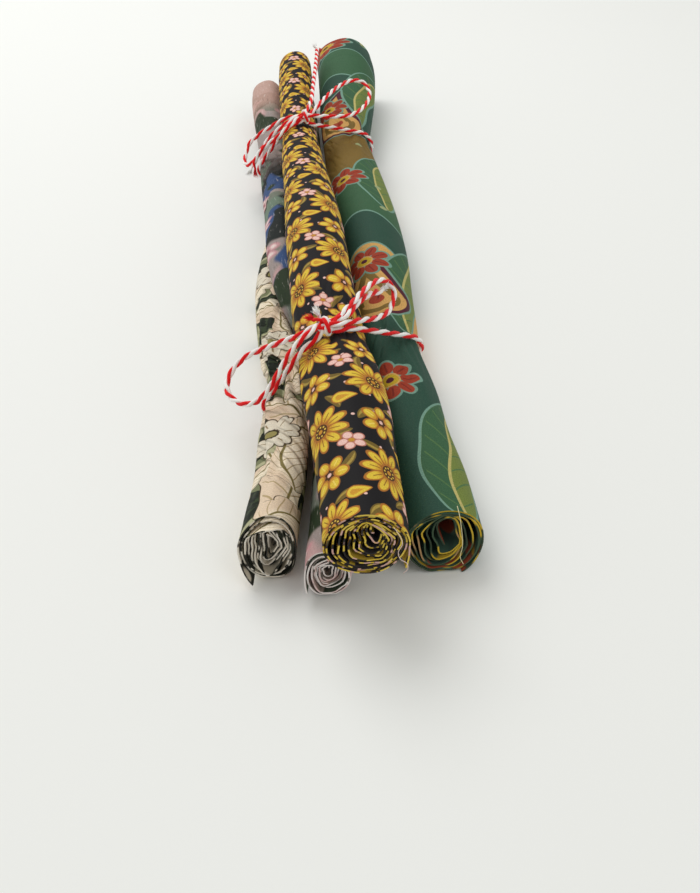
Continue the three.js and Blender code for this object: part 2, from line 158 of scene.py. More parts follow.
def wrap_points(tie, step=1.2):
    """The twine's way round the bundle, clockwise from its highest point as seen from the near end."""
    plane, knot = tie["plane"], tie["knot"]
    ang = np.linspace(0, 2 * np.pi, 96, endpoint=False)
    pts = []
    for name in ROLLS:
        y = np.full(96, plane[0])
        for _ in range(4):
            grid = np.linspace(y.min() - 1, y.max() + 1, 24)
            rr, cc = [], []
            for g in grid:
                me, r = ring_radius(name, g, ang)
                rr.append(r)
                cc.append(me[:2])
            rr, cc = np.array(rr), np.array(cc)
            k = np.clip(np.round((y - grid[0]) / (grid[1] - grid[0])).astype(int), 0, 23)
            r = rr[k, np.arange(96)]
            x, z = cc[k, 0] + r * np.cos(ang), cc[k, 1] + r * np.sin(ang)
            y = plane_y(plane, x, z)
        pts += list(zip(x, z))
    pts = np.array(pts)
    fine = outline(pts)
    turn = np.linspace(0, 2 * np.pi, 40, endpoint=False)
    grow = TWINE / 2 + TWINE_CLEAR
    hull = outline((fine[:, None] + grow * np.stack([np.cos(turn), np.sin(turn)], -1)[None]).reshape(-1, 2))
    closed = np.vstack([hull, hull[:1]])
    s = np.r_[0, np.cumsum(np.hypot(*np.diff(closed, axis=0).T))]
    n = int(s[-1] / step)
    t = np.linspace(0, s[-1], n, endpoint=False)
    x, z = np.interp(t, s, closed[:, 0])[::-1], np.interp(t, s, closed[:, 1])[::-1]
    top = int(np.argmin(np.abs(x - knot[0]) + 10 * (z < plane[2] - 8)))
    x, z = np.roll(x, -top), np.roll(z, -top)
    p = np.stack([x, plane_y(plane, x, z), z], -1)
    keep = np.hypot(p[:, 0] - knot[0], p[:, 2] - knot[2] + 1.5) > 3.5
    return p[keep]


def smooth_path(points, step):
    """A centripetal Catmull-Rom curve through the points, sampled every `step`."""
    p = np.array(points, float)
    p = np.vstack([2 * p[0] - p[1], p, 2 * p[-1] - p[-2]])
    out = []
    for i in range(1, len(p) - 2):
        p0, p1, p2, p3 = p[i - 1:i + 3]
        t = np.cumsum(np.r_[0, [max(np.linalg.norm(b - a), 1e-6) ** 0.5 for a, b in ((p0, p1), (p1, p2), (p2, p3))]])
        u = np.linspace(t[1], t[2], max(3, int(np.linalg.norm(p2 - p1) / step * 2)), endpoint=False)[:, None]
        a1 = (t[1] - u) / (t[1] - t[0]) * p0 + (u - t[0]) / (t[1] - t[0]) * p1
        a2 = (t[2] - u) / (t[2] - t[1]) * p1 + (u - t[1]) / (t[2] - t[1]) * p2
        a3 = (t[3] - u) / (t[3] - t[2]) * p2 + (u - t[2]) / (t[3] - t[2]) * p3
        b1 = (t[2] - u) / (t[2] - t[0]) * a1 + (u - t[0]) / (t[2] - t[0]) * a2
        b2 = (t[3] - u) / (t[3] - t[1]) * a2 + (u - t[1]) / (t[3] - t[1]) * a3
        out.append((t[2] - u) / (t[2] - t[1]) * b1 + (u - t[1]) / (t[2] - t[1]) * b2)
    q = np.vstack(out + [p[-2][None]])
    s = np.r_[0, np.cumsum(np.linalg.norm(np.diff(q, axis=0), axis=1))]
    t = np.linspace(0, s[-1], max(2, int(round(s[-1] / step)) + 1))
    return np.stack([np.interp(t, s, q[:, k]) for k in range(3)], -1)


# ---------------------------------------------------------------------------------------------------------------------
# Mesh helpers
# ---------------------------------------------------------------------------------------------------------------------
def make_mesh(name, verts_mm, faces, materials=(), face_material=None, uv=None, smooth=True, sharp=None):
    """verts in the tables' frame, mm; faces a list or an array of quads or triangles; uv one pair per corner."""
    mesh = bpy.data.meshes.new(name)
    v = (np.asarray(verts_mm, float) + SHIFT) * MM
    mesh.from_pydata(v.tolist(), [], faces if isinstance(faces, list) else faces.tolist())
    for m in materials:
        mesh.materials.append(m)
    if face_material is not None:
        mesh.polygons.foreach_set("material_index", np.asarray(face_material, dtype=np.int32))
    if uv is not None:
        layer = mesh.uv_layers.new(name="cloth")
        layer.data.foreach_set("uv", np.asarray(uv, dtype=np.float32).ravel())
    mesh.polygons.foreach_set("use_smooth", np.full(len(mesh.polygons), smooth))
    if sharp is not None:
        flags = np.zeros(len(mesh.edges), dtype=bool)
        ends = np.empty(len(mesh.edges) * 2, dtype=np.int32)
        mesh.edges.foreach_get("vertices", ends)
        ends = ends.reshape(-1, 2)
        flags[sharp[ends[:, 0]] & sharp[ends[:, 1]]] = True
        mesh.attributes.new("sharp_edge", "BOOLEAN", "EDGE").data.foreach_set("value", flags)
    mesh.update()
    mesh.validate()
    obj = bpy.data.objects.new(name, mesh)
    bpy.context.scene.collection.objects.link(obj)
    return obj


def frames_along(path):
    """Tangents and two crossing directions that turn as little as possible along the path."""
    tan = np.gradient(path, axis=0)
    tan /= np.linalg.norm(tan, axis=1)[:, None]
    n = np.empty_like(path)
    ref = np.array([0.0, 0.0, 1.0]) if abs(tan[0, 2]) < 0.9 else np.array([1.0, 0.0, 0.0])
    n[0] = ref - tan[0] * (ref @ tan[0])
    n[0] /= np.linalg.norm(n[0])
    for i in range(1, len(path)):
        v = n[i - 1] - tan[i] * (n[i - 1] @ tan[i])
        n[i] = v / np.linalg.norm(v)
    return tan, n, np.cross(tan, n)


def tube_arrays(path, radius, sides, angle0=None):
    """Vertices and quads of a closed tube; radius is a number or one value a point."""
    tan, n, b = frames_along(path)
    radius = np.broadcast_to(np.asarray(radius, float), (len(path),))
    ang = np.linspace(0, 2 * np.pi, sides, endpoint=False)
    if angle0 is None:
        angle0 = np.zeros(len(path))
    a = ang[None] + angle0[:, None]
    v = path[:, None] + radius[:, None, None] * (np.cos(a)[..., None] * n[:, None] + np.sin(a)[..., None] * b[:, None])
    i = np.arange(len(path) - 1)[:, None] * sides
    k = np.arange(sides)[None]
    k2 = (k + 1) % sides
    quads = np.stack([i + k, i + k2, i + sides + k2, i + sides + k], -1).reshape(-1, 4)
    caps = [list(range(sides))[::-1], [(len(path) - 1) * sides + j for j in range(sides)]]
    return v.reshape(-1, 3), quads.tolist() + caps


# ---------------------------------------------------------------------------------------------------------------------
# Camera: at the photograph's angle to the rolls, 38.6 degrees down and 5.4 degrees to the right of +Y
# ---------------------------------------------------------------------------------------------------------------------
def make_camera():
    pitch, head = math.radians(38.6), math.radians(5.4)
    forward = Vector((math.cos(pitch) * math.sin(head), math.cos(pitch) * math.cos(head), -math.sin(pitch)))
    right = Vector((math.cos(head), -math.sin(head), 0))
    up = right.cross(forward)
    cam = bpy.data.cameras.new("camera")
    cam.lens = 950 / 893 * 36
    cam.sensor_width = 36
    cam.sensor_fit = "AUTO"
    cam.clip_start = 0.01
    cam.clip_end = 20
    obj = bpy.data.objects.new("camera", cam)
    place = Vector((-24.0, -432.0, 234.0)) + Vector(SHIFT)
    obj.matrix_world = Matrix.Translation(place * MM) @ Matrix((right, up, -forward)).transposed().to_4x4()
    bpy.context.scene.collection.objects.link(obj)
    bpy.context.scene.camera = obj


make_camera()


# ---------------------------------------------------------------------------------------------------------------------
# Shader helpers: small wrappers, so that a print reads as a formula
# ---------------------------------------------------------------------------------------------------------------------
class Num:
    """A value in a node tree; arithmetic on it adds Math nodes."""

    def __init__(self, tree, socket):
        self.tree, self.socket = tree, socket

    def _op(self, op, *args):
        node = self.tree.nodes.new("ShaderNodeMath")
        node.operation = op
        for i, a in enumerate(args):
            if isinstance(a, Num):
                self.tree.links.new(a.socket, node.inputs[i])
            else:
                node.inputs[i].default_value = float(a)
        return Num(self.tree, node.outputs[0])

    def __add__(self, o): return self._op("ADD", self, o)
    def __radd__(self, o): return self._op("ADD", o, self)
    def __sub__(self, o): return self._op("SUBTRACT", self, o)
    def __rsub__(self, o): return self._op("SUBTRACT", o, self)
    def __mul__(self, o): return self._op("MULTIPLY", self, o)
    def __rmul__(self, o): return self._op("MULTIPLY", o, self)
    def __truediv__(self, o): return self._op("DIVIDE", self, o)
    def __rtruediv__(self, o): return self._op("DIVIDE", o, self)
    def __neg__(self): return self._op("MULTIPLY", self, -1)
    def sin(self): return self._op("SINE", self)
    def cos(self): return self._op("COSINE", self)
    def abs(self): return self._op("ABSOLUTE", self)
    def sqrt(self): return self._op("SQRT", self)
    def floor(self): return self._op("FLOOR", self)
    def fract(self): return self._op("FRACT", self)
    def power(self, o): return self._op("POWER", self, o)
    def min(self, o): return self._op("MINIMUM", self, o)
    def max(self, o): return self._op("MAXIMUM", self, o)
    def mod(self, o): return self._op("FLOORED_MODULO", self, o)
    def above(self, o): return self._op("GREATER_THAN", self, o)
    def below(self, o): return self._op("LESS_THAN", self, o)

    def step(self, lo, hi, a=0.0, b=1.0):
        """smooth from a to b as the value goes from lo to hi"""
        node = self.tree.nodes.new("ShaderNodeMapRange")
        node.interpolation_type = "SMOOTHSTEP"
        self.tree.links.new(self.socket, node.inputs["Value"])
        for key, val in (("From Min", lo), ("From Max", hi), ("To Min", a), ("To Max", b)):
            node.inputs[key].default_value = float(val)
        return Num(self.tree, node.outputs["Result"])


def atan2(y, x):
    return y._op("ARCTAN2", y, x)


def combine(tree, x, y, z=0.0):
    node = tree.nodes.new("ShaderNodeCombineXYZ")
    for i, a in enumerate((x, y, z)):
        if isinstance(a, Num):
            tree.links.new(a.socket, node.inputs[i])
        else:
            node.inputs[i].default_value = float(a)
    return node.outputs[0]


def separate(tree, socket):
    node = tree.nodes.new("ShaderNodeSeparateXYZ")
    tree.links.new(socket, node.inputs[0])
    return [Num(tree, s) for s in node.outputs]


def noise(tree, vector, scale, detail=2.0, rough=0.5, distortion=0.0):
    node = tree.nodes.new("ShaderNodeTexNoise")
    tree.links.new(vector, node.inputs["Vector"])
    node.inputs["Scale"].default_value = scale
    node.inputs["Detail"].default_value = detail
    node.inputs["Roughness"].default_value = rough
    node.inputs["Distortion"].default_value = distortion
    return Num(tree, node.outputs["Fac"])


def white(tree, vector):
    node = tree.nodes.new("ShaderNodeTexWhiteNoise")
    node.noise_dimensions = "3D"
    tree.links.new(vector, node.inputs["Vector"])
    return separate(tree, node.outputs["Color"])


def srgb(r, g, b):
    return tuple((c / 255 / 12.92 if c / 255 <= 0.04045 else ((c / 255 + 0.055) / 1.055) ** 2.4) for c in (r, g, b)) + (1.0,)


def paint(tree, base, colour, mask):
    """base with colour laid over it where mask is 1; base and colour are sockets or plain colours"""
    node = tree.nodes.new("ShaderNodeMix")
    node.data_type = "RGBA"
    node.clamp_factor = True
    tree.links.new(mask.socket, node.inputs["Factor"])
    for key, val in ((6, base), (7, colour)):
        if isinstance(val, tuple):
            node.inputs[key].default_value = val
        else:
            tree.links.new(val, node.inputs[key])
    return node.outputs[2]


def new_material(name):
    mat = bpy.data.materials.new(name)
    mat.use_nodes = True
    tree = mat.node_tree
    tree.nodes.clear()
    out = tree.nodes.new("ShaderNodeOutputMaterial")
    shader = tree.nodes.new("ShaderNodeBsdfPrincipled")
    tree.links.new(shader.outputs[0], out.inputs["Surface"])
    return mat, tree, shader


def add_bump(tree, shader, height, distance, strength=1.0):
    node = tree.nodes.new("ShaderNodeBump")
    tree.links.new(height.socket, node.inputs["Height"])
    node.inputs["Distance"].default_value = distance
    node.inputs["Strength"].default_value = strength
    tree.links.new(node.outputs[0], shader.inputs["Normal"])


def cloth_uv(tree):
    node = tree.nodes.new("ShaderNodeUVMap")
    node.uv_map = "cloth"
    u, v, _ = separate(tree, node.outputs[0])
    return u, v, node.outputs[0]


# ---------------------------------------------------------------------------------------------------------------------
# Twine
# ---------------------------------------------------------------------------------------------------------------------
def twine_material(name, colour, dark):
    mat, tree, shader = new_material(name)
    u, v, uv = cloth_uv(tree)
    fibres = noise(tree, combine(tree, u * 9.0, v * 1.2), 1.0, 3.0, 0.6)
    base = paint(tree, dark, colour, fibres.step(0.25, 0.6))
    tree.links.new(base, shader.inputs["Base Color"])
    shader.inputs["Roughness"].default_value = 0.85
    shader.inputs["Sheen Weight"].default_value = 0.15
    shader.inputs["Sheen Roughness"].default_value = 0.5
    shader.inputs["Specular IOR Level"].default_value = 0.25
    shader.inputs["Subsurface Weight"].default_value = 0.0
    add_bump(tree, shader, fibres, 0.00012, 0.9)
    return mat


TWINE_WHITE = twine_material("twine_white", srgb(254, 253, 250), srgb(236, 230, 226))
TWINE_RED = twine_material("twine_red", srgb(238, 18, 22), srgb(204, 6, 12))
# mm from one red band to the next, at shares of the length: the twine is twisted tighter in some places than in others
TWIST = {"tie_front": [(0, 9.6), (0.26, 9.8), (0.30, 14.0), (0.44, 14.0), (0.56, 12.2), (0.68, 12.2), (0.72, 12.5), (1, 12.0)],
         "tie_far": [(0, 9.6), (0.4, 10.4), (0.7, 10.0), (1, 9.6)]}
# where the white strand points at the first free end
WHITE_TO = {"tie_front": (0.9, 0.4, 0.3), "tie_far": (0.0, 0.3, 1.0)}


def tie_route(tie):
    k = np.array(tie["knot"])
    at = lambda *d: tuple(k + np.array(d))
    # the bow's loops lie across the knot, and the twine turns once round them between the two
    into_left = [at(1.9, 0.3, -1.2), at(0.4, -1.0, -1.3), at(-1.8, -1.4, -0.2)]
    bind = [at(-1.6, 1.0, 0.8), at(0.0, 2.1, 0.2), at(1.0, 2.2, -1.6), at(1.2, 0.6, -2.6), at(0.9, -1.6, -2.0), at(0.6, -2.7, 0.0), at(0.3, -1.8, 2.1), at(0.0, 0.2, 2.9),
            at(-0.7, 1.9, 2.1), at(-1.0, 2.6, 0.0), at(-0.8, 1.2, -1.8)]
    from_wrap = [at(-1.6, -1.4, -1.0), at(-0.2, -0.2, 0.3), at(1.6, 0.9, 0.9)]
    out_again = [at(1.2, -0.6, 1.0), at(-0.6, -1.3, 0.6), at(-1.9, 0.0, 0.1), at(-0.8, 1.2, 0.7)]
    pts = list(tie["end_b"])[::-1] + into_left + list(tie["loop_left"]) + bind
    pts += [tuple(p) for p in wrap_points(tie, 3.0)]
    pts += from_wrap + list(tie["loop_right"]) + out_again + list(tie["end_a"])[1:]
    return smooth_path(pts, 0.62)


def build_tie(name, rng):
    tie = TIES[name]
    path = tie_route(tie)
    tan, n, b = frames_along(path)
    s = np.r_[0, np.cumsum(np.linalg.norm(np.diff(path, axis=0), axis=1))]
    pitch = np.interp(s / s[-1], *zip(*TWIST[name]))
    phase = -2 * np.pi * np.r_[0, np.cumsum(np.diff(s) * 2 / (pitch[1:] + pitch[:-1]))]
    phase += np.arctan2(np.dot(WHITE_TO[name], b[0]), np.dot(WHITE_TO[name], n[0]))
    verts, faces, mats, uvs = [], [], [], []
    sides, count = 12, 0
    # the last few millimetres at each end come untwisted
    loose = np.exp(-np.minimum(s, s[-1] - s) / 2.6)
    for k in range(2):
        a = phase + k * np.pi
        off = TWINE * (0.29 + 0.44 * loose)
        out = np.cos(a)[:, None] * n + np.sin(a)[:, None] * b
        side = -np.sin(a)[:, None] * n + np.cos(a)[:, None] * b
        centre = path + off[:, None] * out
        ang = np.linspace(0, 2 * np.pi, sides, endpoint=False)
        wobble = 1 + 0.04 * np.sin(s * 1.9 + k) + 0.03 * np.sin(s * 5.3 + 2 * k)
        v = centre[:, None] + TWINE * wobble[:, None, None] * (0.32 * np.cos(ang)[None, :, None] * out[:, None] + 0.40 * np.sin(ang)[None, :, None] * side[:, None])
        i = np.arange(len(path) - 1)[:, None] * sides + count
        j, j2 = np.arange(sides)[None], (np.arange(sides)[None] + 1) % sides
        quads = np.stack([i + j, i + j2, i + sides + j2, i + sides + j], -1).reshape(-1, 4)
        verts.append(v.reshape(-1, 3))
        faces += quads.tolist()
        uu = np.arange(sides + 1) / sides * 3.0
        ss = s
        for q in range(len(path) - 1):
            twist = -ss[q] * 0.5, -ss[q + 1] * 0.5
            for c in range(sides):
                uvs += [(uu[c] + twist[0], ss[q]), (uu[c + 1] + twist[0], ss[q]), (uu[c + 1] + twist[1], ss[q + 1]), (uu[c] + twist[1], ss[q + 1])]
        faces += [[count + j for j in range(sides)][::-1], [count + (len(path) - 1) * sides + j for j in range(sides)]]
        uvs += [(0, 0)] * (2 * sides)
        mats += [k] * (len(quads) + 2)
        count += len(path) * sides
    obj = make_mesh(name + "_twine", np.vstack(verts), faces, (TWINE_WHITE, TWINE_RED), mats, uvs)
    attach(obj, "root")
    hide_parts(name)

    # loose fibres along the twine and a tuft at each end
    hv, hf, hm, base = [], [], [], 0
    total = int(s[-1] * 3.6)
    for q in range(total):
        i = int(rng.integers(1, len(path) - 2))
        a = rng.uniform(0, 2 * np.pi)
        direction = np.cos(a) * n[i] + np.sin(a) * b[i]
        lean = tan[i] * rng.uniform(-1.2, 1.2)
        start = path[i] + direction * TWINE * 0.46
        length = abs(rng.normal(0.55, 0.3)) + 0.25
        mid = start + (direction * 0.6 + lean * 0.5) * length * 0.5
        tip = start + (direction * 0.85 + lean) * length + rng.normal(0, 0.12, 3)
        ph = (phase[i] - a) % (2 * np.pi)
        ply = 0 if ph < np.pi / 2 or ph > 3 * np.pi / 2 else 1
        v, f = tube_arrays(np.array([start, mid, tip]), [0.022, 0.018, 0.006], 3)
        hv.append(v)
        hf += [[c + base for c in g] for g in f]
        hm += [ply] * len(f)
        base += len(v)
    for end, sign in ((0, -1), (len(path) - 1, 1)):
        for q in range(150):
            ply = q % 2
            out = np.cos(phase[end] + ply * np.pi) * n[end] + np.sin(phase[end] + ply * np.pi) * b[end]
            a = rng.uniform(0, 2 * np.pi)
            direction = np.cos(a) * n[end] + np.sin(a) * b[end]
            start = path[end] + TWINE * (0.66 * out + direction * 0.30 * rng.uniform(0, 1) ** 0.5) - sign * tan[end] * 0.9
            length = rng.uniform(1.8, 4.6)
            spread = direction * rng.uniform(0.0, 0.42) + out * rng.uniform(0.15, 0.5)
            mid = start + (sign * tan[end] + spread * 0.5) * length * 0.5
            tip = start + (sign * tan[end] + spread) * length + rng.normal(0, 0.18, 3)
            v, f = tube_arrays(np.array([start, mid, tip]), [0.15, 0.12, 0.03], 3)
            hv.append(v)
            hf += [[c + base for c in g] for g in f]
            hm += [ply] * len(f)
            base += len(v)
    hv = np.vstack(hv)
    hv[:, 2] = np.maximum(hv[:, 2], 0.03)
    fuzz = make_mesh(name + "_fibres", hv, hf, (TWINE_WHITE, TWINE_RED), hm)
    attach(fuzz, "root")
    length = float(s[-1]) * MM
    print(name, "length mm", round(float(s[-1]), 1))
    return path


TIE_PATHS = {name: build_tie(name, np.random.default_rng(7 + i)) for i, name in enumerate(TIES)}


# ---------------------------------------------------------------------------------------------------------------------
# Cloth rolls: each one continuous sheet wound from its outer edge to its eye
# ---------------------------------------------------------------------------------------------------------------------
# rows: turn, the loop's half width and half height in parts of the roll's (1 is the outside), its tilt in degrees, and
# how far its middle lies off the roll's, in the same parts
WINDING = {
    "roll_yellow": dict(start=-38, way=1, thread=1.6, table=[
        (0.0, 0.955, 0.955, 0, 0, 0), (0.10, 0.992, 0.992, 0, 0, 0), (1.0, 0.93, 0.93, 0, 0, 0), (2.0, 0.87, 0.88, 2, 0.0, 0.0), (3.0, 0.735, 0.795, 7, 0.03, 0.0),
        (4.0, 0.655, 0.745, 13, 0.05, 0.01), (5.0, 0.53, 0.685, 17, 0.075, 0.02), (6.0, 0.455, 0.63, 20, 0.095, 0.04), (7.0, 0.345, 0.56, 20, 0.12, 0.075),
        (8.0, 0.275, 0.49, 17, 0.14, 0.11), (9.0, 0.195, 0.38, 12, 0.16, 0.17), (10.0, 0.125, 0.26, 6, 0.175, 0.25), (10.8, 0.07, 0.14, 0, 0.18, 0.32)]),
    "roll_green": dict(start=-62, way=1, thread=1.6, table=[
        (0.0, 0.965, 0.965, 0, 0, 0), (0.10, 0.992, 0.992, 0, 0, 0), (1.0, 0.95, 0.95, 0, 0, 0), (2.0, 0.91, 0.91, 0, 0, 0), (2.7, 0.875, 0.88, 0, 0.0, 0.0),
        (3.3, 0.78, 0.83, -2, -0.05, 0.02), (4.0, 0.66, 0.79, -5, -0.07, 0.03), (5.0, 0.54, 0.74, -7, -0.06, 0.04), (6.0, 0.45, 0.68, -8, -0.02, 0.06),
        (7.0, 0.37, 0.61, -6, 0.03, 0.09), (8.0, 0.29, 0.53, -2, 0.08, 0.13), (8.8, 0.22, 0.45, 2, 0.11, 0.17)]),
    "roll_cream": dict(start=-120, way=-1, thread=1.6, fine=0.75, table=[
        (0.0, 0.95, 0.95, 0, 0, 0), (0.10, 0.99, 0.99, 0, 0, 0), (1.0, 0.905, 0.915, 0, 0, 0), (2.0, 0.80, 0.85, -3, 0.01, 0), (3.0, 0.69, 0.79, -6, 0.02, 0.0),
        (4.0, 0.59, 0.73, -9, 0.03, 0.0), (5.0, 0.50, 0.67, -11, 0.04, 0.0), (6.0, 0.415, 0.605, -11, 0.05, 0.0), (7.0, 0.335, 0.535, -10, 0.05, 0.01),
        (8.0, 0.26, 0.46, -8, 0.05, 0.02), (9.0, 0.19, 0.375, -6, 0.05, 0.03), (10.0, 0.125, 0.275, -4, 0.05, 0.04), (10.8, 0.075, 0.18, 0, 0.05, 0.05)]),
    "roll_painterly": dict(start=-140, way=-1, thread=1.35, table=[
        (0.0, 0.94, 0.94, 0, 0, 0), (0.10, 0.99, 0.99, 0, 0, 0), (1.0, 0.885, 0.89, 0, 0, 0), (1.7, 0.80, 0.82, -2, 0.02, 0), (2.3, 0.655, 0.70, -6, 0.07, 0.03),
        (3.0, 0.575, 0.64, -14, 0.09, 0.03), (4.0, 0.50, 0.575, -22, 0.09, 0.02), (5.0, 0.42, 0.505, -30, 0.08, 0.01), (6.0, 0.325, 0.425, -36, 0.07, 0.0),
        (7.0, 0.245, 0.34, -40, 0.05, 0.0), (8.0, 0.16, 0.25, -40, 0.04, 0.0), (8.6, 0.11, 0.18, -40, 0.03, 0.0)]),
}
# rows: from (degrees round the section, y) to (degrees, y), half width in mm and depth in mm of a soft trough
CREASES = {
    "roll_yellow": [(100, -128, 118, -186, 3.2, 0.56), (70, -128, 52, -172, 3.0, 0.56), (84, -122, 88, -84, 3.0, 0.50), (128, -120, 148, -60, 3.0, 0.56),
                    (40, -116, 30, -70, 2.6, 0.44), (95, 98, 110, 40, 2.6, 0.44), (70, 98, 60, 55, 2.6, 0.38), (100, 106, 92, 160, 2.6, 0.38), (150, -130, 170, -190, 3, 0.62),
                    (20, -112, 12, -165, 3, 0.62)],
    "roll_green": [(80, -108, 96, -170, 3.6, 0.65), (50, -104, 44, -150, 3.2, 0.59), (110, -106, 120, -60, 3.0, 0.52), (64, -98, 58, -30, 3.6, 0.65),
                   (30, -96, 20, -40, 3.2, 0.65), (90, 118, 104, 60, 3.4, 0.65), (60, 126, 50, 60, 3.4, 0.65), (76, 132, 84, 200, 4.0, 0.91), (40, 134, 34, 190, 4.0, 0.91),
                   (110, 128, 124, 190, 4.0, 0.91), (10, -100, -6, -150, 3.4, 0.65)],
    "roll_cream": [(150, -122, 96, -168, 1.95, 1.50), (118, -122, 70, -158, 1.65, 1.35), (170, -126, 132, -186, 1.95, 1.50), (96, -118, 52, -148, 1.65, 1.20),
                   (140, -112, 84, -78, 1.65, 1.35), (164, -110, 110, -60, 1.80, 1.50), (118, -108, 66, -84, 1.50, 1.20), (182, -112, 146, -46, 1.80, 1.50),
                   (150, -150, 104, -196, 1.50, 1.05), (120, -92, 76, -50, 1.50, 1.05), (196, -124, 172, -180, 1.95, 1.35), (90, -176, 120, -206, 1.50, 0.75),
                   (200, -100, 176, -40, 1.80, 1.20), (130, -60, 100, -20, 1.50, 0.90), (60, -124, 36, -160, 1.50, 0.90)],
    "roll_painterly": [(120, -112, 134, -170, 2.2, 0.65), (150, 108, 140, 50, 2.4, 0.65), (110, 104, 96, 48, 2.4, 0.65), (160, 118, 150, 180, 2.4, 0.65),
                       (120, 116, 106, 186, 2.4, 0.65), (170, 60, 150, -10, 2.2, 0.65), (80, 110, 70, 160, 2.2, 0.52)],
}


def add_creases(name, seed, count, tie_y, angles, reach, half, deep, lean):
    """Smaller creases that run out from a tie to both sides, leaning round the roll by `lean` degrees a mm."""
    rng = np.random.default_rng(seed)
    for _ in range(count):
        side = 1 if rng.uniform() < 0.5 else -1
        a0, start, length = rng.uniform(*angles), tie_y + side * rng.uniform(2, 8), rng.uniform(*reach)
        CREASES[name].append((a0, start, a0 + rng.uniform(*lean) * length, start + side * length, rng.uniform(*half), rng.uniform(*deep)))


add_creases("roll_cream", 41, 9, -117, (80, 205), (24, 58), (1.8, 2.9), (0.6, 1.2), (-1.25, -0.6))
add_creases("roll_cream", 42, 6, 121, (60, 200), (15, 40), (1.2, 1.8), (0.3, 0.7), (-0.8, 0.4))
add_creases("roll_yellow", 43, 10, -122, (35, 150), (14, 42), (1.3, 2.0), (0.22, 0.45), (-0.5, 0.5))
add_creases("roll_yellow", 44, 6, 103, (35, 150), (12, 34), (1.2, 1.8), (0.2, 0.35), (-0.5, 0.5))
add_creases("roll_green", 45, 9, -103, (20, 140), (16, 50), (1.5, 2.3), (0.3, 0.55), (-0.5, 0.5))
add_creases("roll_green", 46, 9, 128, (20, 140), (20, 60), (1.5, 2.4), (0.35, 0.65), (-0.4, 0.4))
add_creases("roll_painterly", 47, 8, 111, (70, 190), (14, 45), (1.2, 1.9), (0.3, 0.6), (-0.7, 0.3))


def crease_depth(name, theta, y, radius):
    """How far the surface lies below its even form, mm (theta and y are arrays that broadcast)."""
    depth = np.zeros(np.broadcast(theta, y).shape)
    for a0, y0, a1, y1, half, deep in CREASES[name]:
        u = np.clip((y - y0) / (y1 - y0), 0, 1)
        a = np.radians(a0 + (a1 - a0) * (u * 1.25 - 0.25 * u * u))
        gap = (theta - a + np.pi) % (2 * np.pi) - np.pi
        across = gap * radius
        fade = np.where((y - y0) * (y1 - y0) < 0, np.exp(-((y - y0) / 4.0) ** 2), 1) * np.where((y - y1) * (y1 - y0) > 0, np.exp(-((y - y1) / 7.0) ** 2), 1)
        taper = (1 - 0.85 * u ** 1.5) * fade
        width = half * (0.7 + 0.6 * u)
        depth += deep * taper * (np.exp(-(across / width) ** 2) - 0.45 * np.exp(-((np.abs(across) - 1.9 * width) / (0.9 * width)) ** 2))
    return np.minimum(depth, 2.0)


def waves(a, y, seed, terms=6, low=2, high=7):
    rng = np.random.default_rng(seed)
    out = 0
    for _ in range(terms):
        out = out + rng.uniform(0.4, 1) * np.sin(int(rng.integers(low, high)) * a + rng.uniform(0, 6.28) + y * rng.uniform(-0.035, 0.035))
    return out / terms


def rows_of(name):
    table = ROLLS[name]["rows"]
    y0, y1 = table[0, 0], table[-1, 0]
    crushed = name == "roll_cream"
    pitch = lambda y: 2.6 if (y - y0 < 12 or y1 - y < 8) else ((2.7 if crushed else 4.4) if (-190 < y < -50 or (70 < y < 150 and not crushed)) else 7.5)
    out, y = [y0], y0
    while y < y1:
        y += pitch(y)
        out.append(y)
    out = np.array(out)
    return y0 + (out - y0) * (y1 - y0) / (out[-1] - y0)


def turned(x, z, angle):
    return x * np.cos(angle) - z * np.sin(angle), x * np.sin(angle) + z * np.cos(angle)


